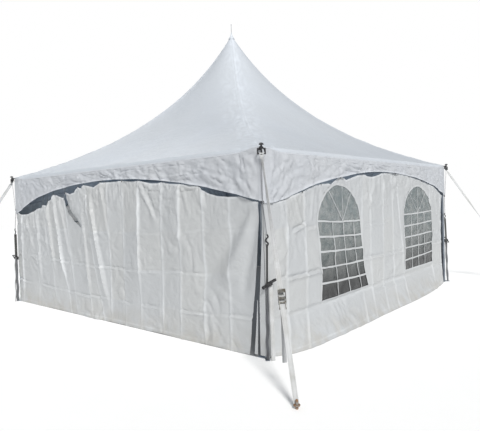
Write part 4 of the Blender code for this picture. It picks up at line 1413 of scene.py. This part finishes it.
def walls():
    def through(points):
        places, heights = np.array(points).T
        return lambda s: np.interp(s, places, heights)

    plans = (
        ("front", 344, 136, through(FRONT_TOP), FRONT_HOOKS),
        ("right", 330, 122, through(RIGHT_TOP), RIGHT_HOOKS),
        ("back", 220, 80, plain_top, ()),
        ("left", 240, 84, plain_top, ()),
    )
    for turns, (side, columns, rows, top_of, hooks) in enumerate(plans):
        surface = wall(turns, side, columns, rows, top_of, hooks)
        if side in WINDOWED:
            windows(turns, side, surface)
        if hooks:
            wall_hooks(turns, side, hooks, top_of)


# Guys and ties

WEB_SHEET = 0.0026
LOOP_SHEET = 0.0024
SIDE_PLATE = (0.130, 0.034, 0.011)      # length, width and round corner of a ratchet's flat parts
HANDLE_ARM = (0.128, 0.026, 0.008)
GRIP = (0.030, 0.070, 0.006)
PAWL = (0.022, 0.060, 0.003)
WHEEL = (0.021, 0.005, 12)              # radius, depth of the teeth, number of teeth
SIDE_PLATE_OUT = 0.0285
WHEEL_OUT = 0.0325
HANDLE_OUT = 0.0355
ROD_HALF = 0.031
RIVET_HALF = 0.0015
TIE_WEB = WEB * 0.92
TIE_RING = 0.018
TIE_RING_WIRE = 0.004
TIE_HOOK_ROD = 0.0095
TIE_ROPE_RADIUS = 0.0045
LEAD_RADIUS = 0.0032
BRACKET_ROD = 0.0085


def guy_straps():
    ring = circle(OUT * (DIAGONAL + HOOK_OUT) + UP * HOOK_Z, OUT, UP, HOOK_ROD + 0.003, 16)
    loop = ring + ring[:1]
    for turns, corner in enumerate(CORNERS):
        top, foot = guy_ends(stake_spot(turns))
        line = (foot - top).normalized()
        path = []
        widths = []
        for share in shares(110):
            angle = math.radians(np.interp(share, TWIST_SHARES, TWIST_DEGREES))
            path.append(top.lerp(foot, share))
            widths.append(Matrix.Rotation(angle, 3, line) @ ASIDE)
        show_strap(f"guy_web_{corner}", path, widths, WEB, WEB_SHEET, WHITE_WEB, "white_webbing",
                   f"guy_strap_{corner}", turns)
        show_strap(f"guy_loop_{corner}", loop, [ASIDE] * len(loop), WEB, LOOP_SHEET, WHITE_WEB,
                   "white_webbing", None, turns)


def gear(radius, depth, teeth):
    points = []
    for i in range(teeth * 4):
        angle = 2 * math.pi * i / (teeth * 4)
        reach = radius if i % 4 in (0, 1) else radius - depth
        points.append((reach * math.cos(angle), reach * math.sin(angle)))
    return points


def ratchet_parts(place, slim=1.0, opened=20):
    """Side plates, spool with its toothed wheels, end bars, pawl and the handle, opened by degrees."""
    centre, along, across = place
    face = along.cross(across)
    slope = face * math.sin(math.radians(opened)) - along * math.cos(math.radians(opened))
    lift = slope.cross(across)
    root = centre + face * (RATCHET_LIFT + 0.004)
    radius, depth, teeth = WHEEL
    parts = []

    def flat(size, narrow, spot, ahead, beside, thickness):
        outline = rounded_box(size[0], size[1] * narrow, size[2])
        parts.append(plate_parts(outline, spot, ahead, beside, thickness))

    def rod(spot, half, thick, sides):
        parts.append(tube_parts([spot - across * half, spot + across * half], thick, sides))

    for side in (-1, 1):
        flat(SIDE_PLATE, slim, centre + across * (side * SIDE_PLATE_OUT), along, face, RATCHET_PLATE)
        wheel = centre + across * (side * WHEEL_OUT) + face * RATCHET_LIFT * 0.3
        parts.append(plate_parts(gear(radius * slim, depth, teeth), wheel, along, face, 0.003))
        arm = root + slope * 0.058 + across * (side * HANDLE_OUT)
        flat(HANDLE_ARM, slim, arm, slope, lift, RATCHET_PLATE)
    for shift, side in ((-RATCHET_SPREAD, 1), (0.0, 1), (0.0, -1), (RATCHET_SPREAD, -1)):
        spot = centre + along * shift + face * (side * RATCHET_LIFT)
        thick = RATCHET_PIN if shift == 0 else RATCHET_PIN * 0.8
        rod(spot, ROD_HALF, thick, 14)
        for end in (-1, 1):
            rod(spot + across * (end * (ROD_HALF + 0.002)), RIVET_HALF, thick * 1.25, 12)
    grip = root + slope * 0.108
    flat(GRIP, 1, grip, slope, across, 0.006)
    rod(grip + slope * 0.014, 0.036, 0.006, 12)
    flat(PAWL, 1, root + slope * 0.040, slope, across, 0.003)
    return parts


def guy_ratchets():
    for turns, corner in enumerate(CORNERS):
        parts = ratchet_parts(guy_ratchet_place(stake_spot(turns)))
        show(f"guy_tensioner_{corner}", parts, RATCHET_STEEL, "ratchet_steel",
             f"guy_ratchet_{corner}", turns)


def tie_web(high, low, rippled):
    """The path of one length of the tie's webbing, and the directions of its width."""
    path = []
    widths = []
    for share in shares(60):
        z = high + (low - high) * share
        spot = lerp_route(z)
        if rippled:
            sway = min(1.0, z / 0.2) * (1 - z / 0.9)
            spot = spot + OUT * (0.010 * math.sin(z * 17.0) * sway)
            spot = spot + ASIDE * (0.007 * math.sin(z * 23.0) * sway)
        path.append(spot)
        turned = 0.62 + 0.20 * float(np.interp(z, TIE_TURN_Z, (0, 1)))
        widths.append(Matrix.Rotation(-turned * QUARTER, 3, "Z") @ ASIDE)
    return path, widths


def corner_ties():
    """Lead line, ring, rope, bent hook, webbing and slanted ratchet at each corner."""
    top = lerp_route(TIE_TOP)
    buckle = lerp_route(TIE_BUCKLE_Z)
    rope_foot = buckle + UP * (TIE_BUCKLE_LENGTH / 2)
    lead_out = DIAGONAL + HOOK_OUT - WEB_THICK / 2 - GAP - 0.004
    lead = [OUT * lead_out + UP * (HOOK_Z - STEM_LOW - GAP), OUT * (DIAGONAL + 0.0055) + UP * TIE_TOP]
    hook = []
    for share in shares(48):
        swing = 0.015 * math.sin(share * 3 * math.pi) * math.sin(share * math.pi) ** 0.3
        hook.append(buckle + UP * (TIE_BUCKLE_LENGTH * (0.5 - share)) + ASIDE * swing)
    ring = circle(top - UP * TIE_RING_WIRE, ASIDE, UP, TIE_RING, 20)
    steel = [tube_parts(ring, TIE_RING_WIRE, 8, closed=True), tube_parts(hook, TIE_HOOK_ROD)]
    steel += ratchet_parts(tie_ratchet_place(), 0.70, 3)
    rope = [top.lerp(rope_foot, share) for share in shares(30)]
    ropes = [tube_parts(rope, TIE_ROPE_RADIUS), tube_parts(lead, LEAD_RADIUS, 8)]
    # The lower length uses the grey webbing, as painted shade.
    webs = (("upper", DARK_WEB, tie_web(TIE_BUCKLE_Z - 0.045, TIE_RATCHET_Z + 0.02, False)),
            ("lower", SHADE_GREY_WEB, tie_web(TIE_RATCHET_Z - 0.015, TIE_FOOT, True)))
    for turns, corner in enumerate(CORNERS):
        show(f"tie_steel_{corner}", steel, BLACK_STEEL, "tie_steel", f"corner_tie_{corner}", turns)
        show(f"tie_line_{corner}", ropes, ROPE, "tie_steel", None, turns)
        for name, cloth, route in webs:
            show_strap(f"tie_web_{name}_{corner}", *route, TIE_WEB, WEB_SHEET, cloth, "tie_steel",
                       None, turns)


def brackets():
    """The arch and the little dome that join the prongs outside each corner."""
    foot = OUT * (DIAGONAL + BRACKET_OUT) + UP * BRACKET_FOOT
    arch = []
    for share in shares(24):
        rise = BRACKET_RISE * math.sin(math.pi * share) ** 0.7
        arch.append(foot + ASIDE * (BRACKET_HALF * math.cos(math.pi * share)) + UP * rise)
    parts = [tube_parts(arch, BRACKET_ROD, 12)]
    for radius, low, high in BRACKET_DOME:
        parts.append(tube_parts([foot + UP * low, foot + UP * high], radius, 20))
    for turns, corner in enumerate(CORNERS):
        show(f"bracket_{corner}", parts, BLACK_STEEL, "black_steel", None, turns)


# Peak

BOOT_PROFILE = (            # radius, height
    (0.060, -0.012), (0.058, 0.0), (0.054, 0.010), (0.043, 0.026), (0.031, 0.042), (0.022, 0.060),
    (0.016, 0.080), (0.012, 0.100), (0.0105, 0.112), (0.0125, 0.116), (0.0125, 0.122), (0.0085, 0.126),
)


def peak_boot():
    """The gathered vinyl boot over the mast's head, with its thin spike."""
    seat = roof_height(PEAK_HOLE / DIAGONAL) + 0.0023
    radius, height = np.array(BOOT_PROFILE).T[..., None]
    angles = np.linspace(0, 2 * np.pi, 72, endpoint=False)
    r = radius * (1 + 0.07 * np.cos(angles * 9 + 40 * height) * fade(0.0, 0.03, height))
    points = np.stack([r * np.cos(angles), r * np.sin(angles), seat + height + 0 * r], -1)
    facts = {"cloth": points, "crease_whitening_and_highlight": 0.3 + 0 * r, "tone_and_facet_shade": 0 * r}
    show_cloth("peak_boot", points, facts, ROOF_VINYL, "peak_vinyl", "peak_cap", wrap=True)
    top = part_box("peak_cap")[1].z
    spike = [(0, 0, z) for z in (seat + 0.09, seat + 0.15, top - 0.012, top - 0.004)]
    tip = [(0, 0, top - 0.012), (0, 0, top)]
    show("peak_spike", [tube_parts(spike, 0.004), tube_parts(tip, 0.006, 12)], SHADED_ALLOY, "alloy_tube")


# Solids that stay

def dress_solids():
    looks = {"leg_": SHADED_ALLOY, "eave_rail_": SHADED_ALLOY, "mast": SHADED_ALLOY, "cross_cables": CABLE,
             "corner_fitting_": BLACK_STEEL, "guy_stake_": RUST}
    for name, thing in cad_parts.items():
        for start, material in looks.items():
            if name.startswith(start):
                thing.data.materials.clear()
                thing.data.materials.append(material)


# Light and floor

SKY = (0.90, 0.95, 1.0)
SKY_STRENGTH = 0.32
LAMP_SIZE = 3.0
LAMP_HEIGHT = 0.9
LAMP_POWER = 60
LAMP_COLOUR = (0.72, 0.86, 1.0)
SHADE_UNDER_TENT = (0.16, 0.165, 0.17)
FLOOR_HALF = 40.0


def sun(name, strength, heading, height, spread, colour):
    data = bpy.data.lights.new(name, "SUN")
    data.energy = strength
    data.angle = math.radians(spread)
    data.color = colour
    lamp = placed(name, data)
    a = math.radians(heading)
    e = math.radians(height)
    towards = -Vector((math.cos(a) * math.cos(e), math.sin(a) * math.cos(e), math.sin(e)))
    lamp.rotation_mode = "QUATERNION"
    lamp.rotation_quaternion = towards.to_track_quat("-Z", "Y")


def light():
    world = bpy.data.worlds.new("sky")
    world.use_nodes = True
    tree = world.node_tree
    tree.nodes.clear()
    output = tree.nodes.new("ShaderNodeOutputWorld")
    seen = tree.nodes.new("ShaderNodeBackground")
    seen.inputs["Color"].default_value = (1, 1, 1, 1)
    soft = tree.nodes.new("ShaderNodeBackground")
    soft.inputs["Color"].default_value = (*SKY, 1)
    soft.inputs["Strength"].default_value = SKY_STRENGTH
    path = tree.nodes.new("ShaderNodeLightPath")
    mix = tree.nodes.new("ShaderNodeMixShader")
    sources = (path.outputs["Is Camera Ray"], soft.outputs[0], seen.outputs[0])
    for number, source in enumerate(sources):
        tree.links.new(source, mix.inputs[number])
    tree.links.new(mix.outputs[0], output.inputs["Surface"])
    bpy.context.scene.world = world
    sun("key", 3.4, -36, 40, 14, (1.0, 0.985, 0.96))
    sun("fill", 0.8, 140, 12, 40, (0.92, 0.96, 1.0))
    inside = bpy.data.lights.new("inside", "AREA")
    inside.shape = "DISK"
    inside.size = LAMP_SIZE
    inside.energy = LAMP_POWER
    inside.color = LAMP_COLOUR
    lamp = placed("inside", inside)
    lamp.location = (0, 0, LAMP_HEIGHT)
    lamp.rotation_euler = (math.pi, 0, 0)
    lamp.visible_camera = False
    bpy.context.scene.view_settings.view_transform = "Standard"


def floor():
    mesh = bpy.data.meshes.new("floor")
    points = [(a * FLOOR_HALF, b * FLOOR_HALF, 0) for a, b in ((-1, -1), (1, -1), (1, 1), (-1, 1))]
    mesh.from_pydata(points, [], [(0, 1, 2, 3)])
    look = Shading("pale_floor")
    pale = look.mix(look.noise(2.0, 4.0), (0.94, 0.94, 0.94), (0.96, 0.96, 0.96))
    place = look.add("ShaderNodeNewGeometry").outputs["Position"]
    from_middle = [look.math("ABSOLUTE", look.axis(place, name)) for name in ("X", "Y")]
    inside = look.math("LESS_THAN", look.math("MAXIMUM", *from_middle), WALL_FACE - VINYL)
    look.give(look.shader, {"Emission Color": (1.0, 1.0, 1.0, 1.0), "Emission Strength": 0.05})
    mesh.materials.append(look.finish(look.mix(inside, pale, SHADE_UNDER_TENT), 0.9))
    placed("floor", mesh)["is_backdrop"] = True


set_camera()
loose_ends()
roof()
eave_hem()
for turns, (columns, rows) in enumerate(((380, 26), (380, 26), (260, 22), (260, 22))):
    valance(turns, SIDES[turns], columns, rows)
walls()
corner_cloths()
guy_straps()
guy_ratchets()
corner_ties()
brackets()
peak_boot()
dress_solids()
light()
floor()

boxes = {"cad": cad_box, "visual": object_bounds()}
{name: [list(low), list(high)] for name, (low, high) in boxes.items()}
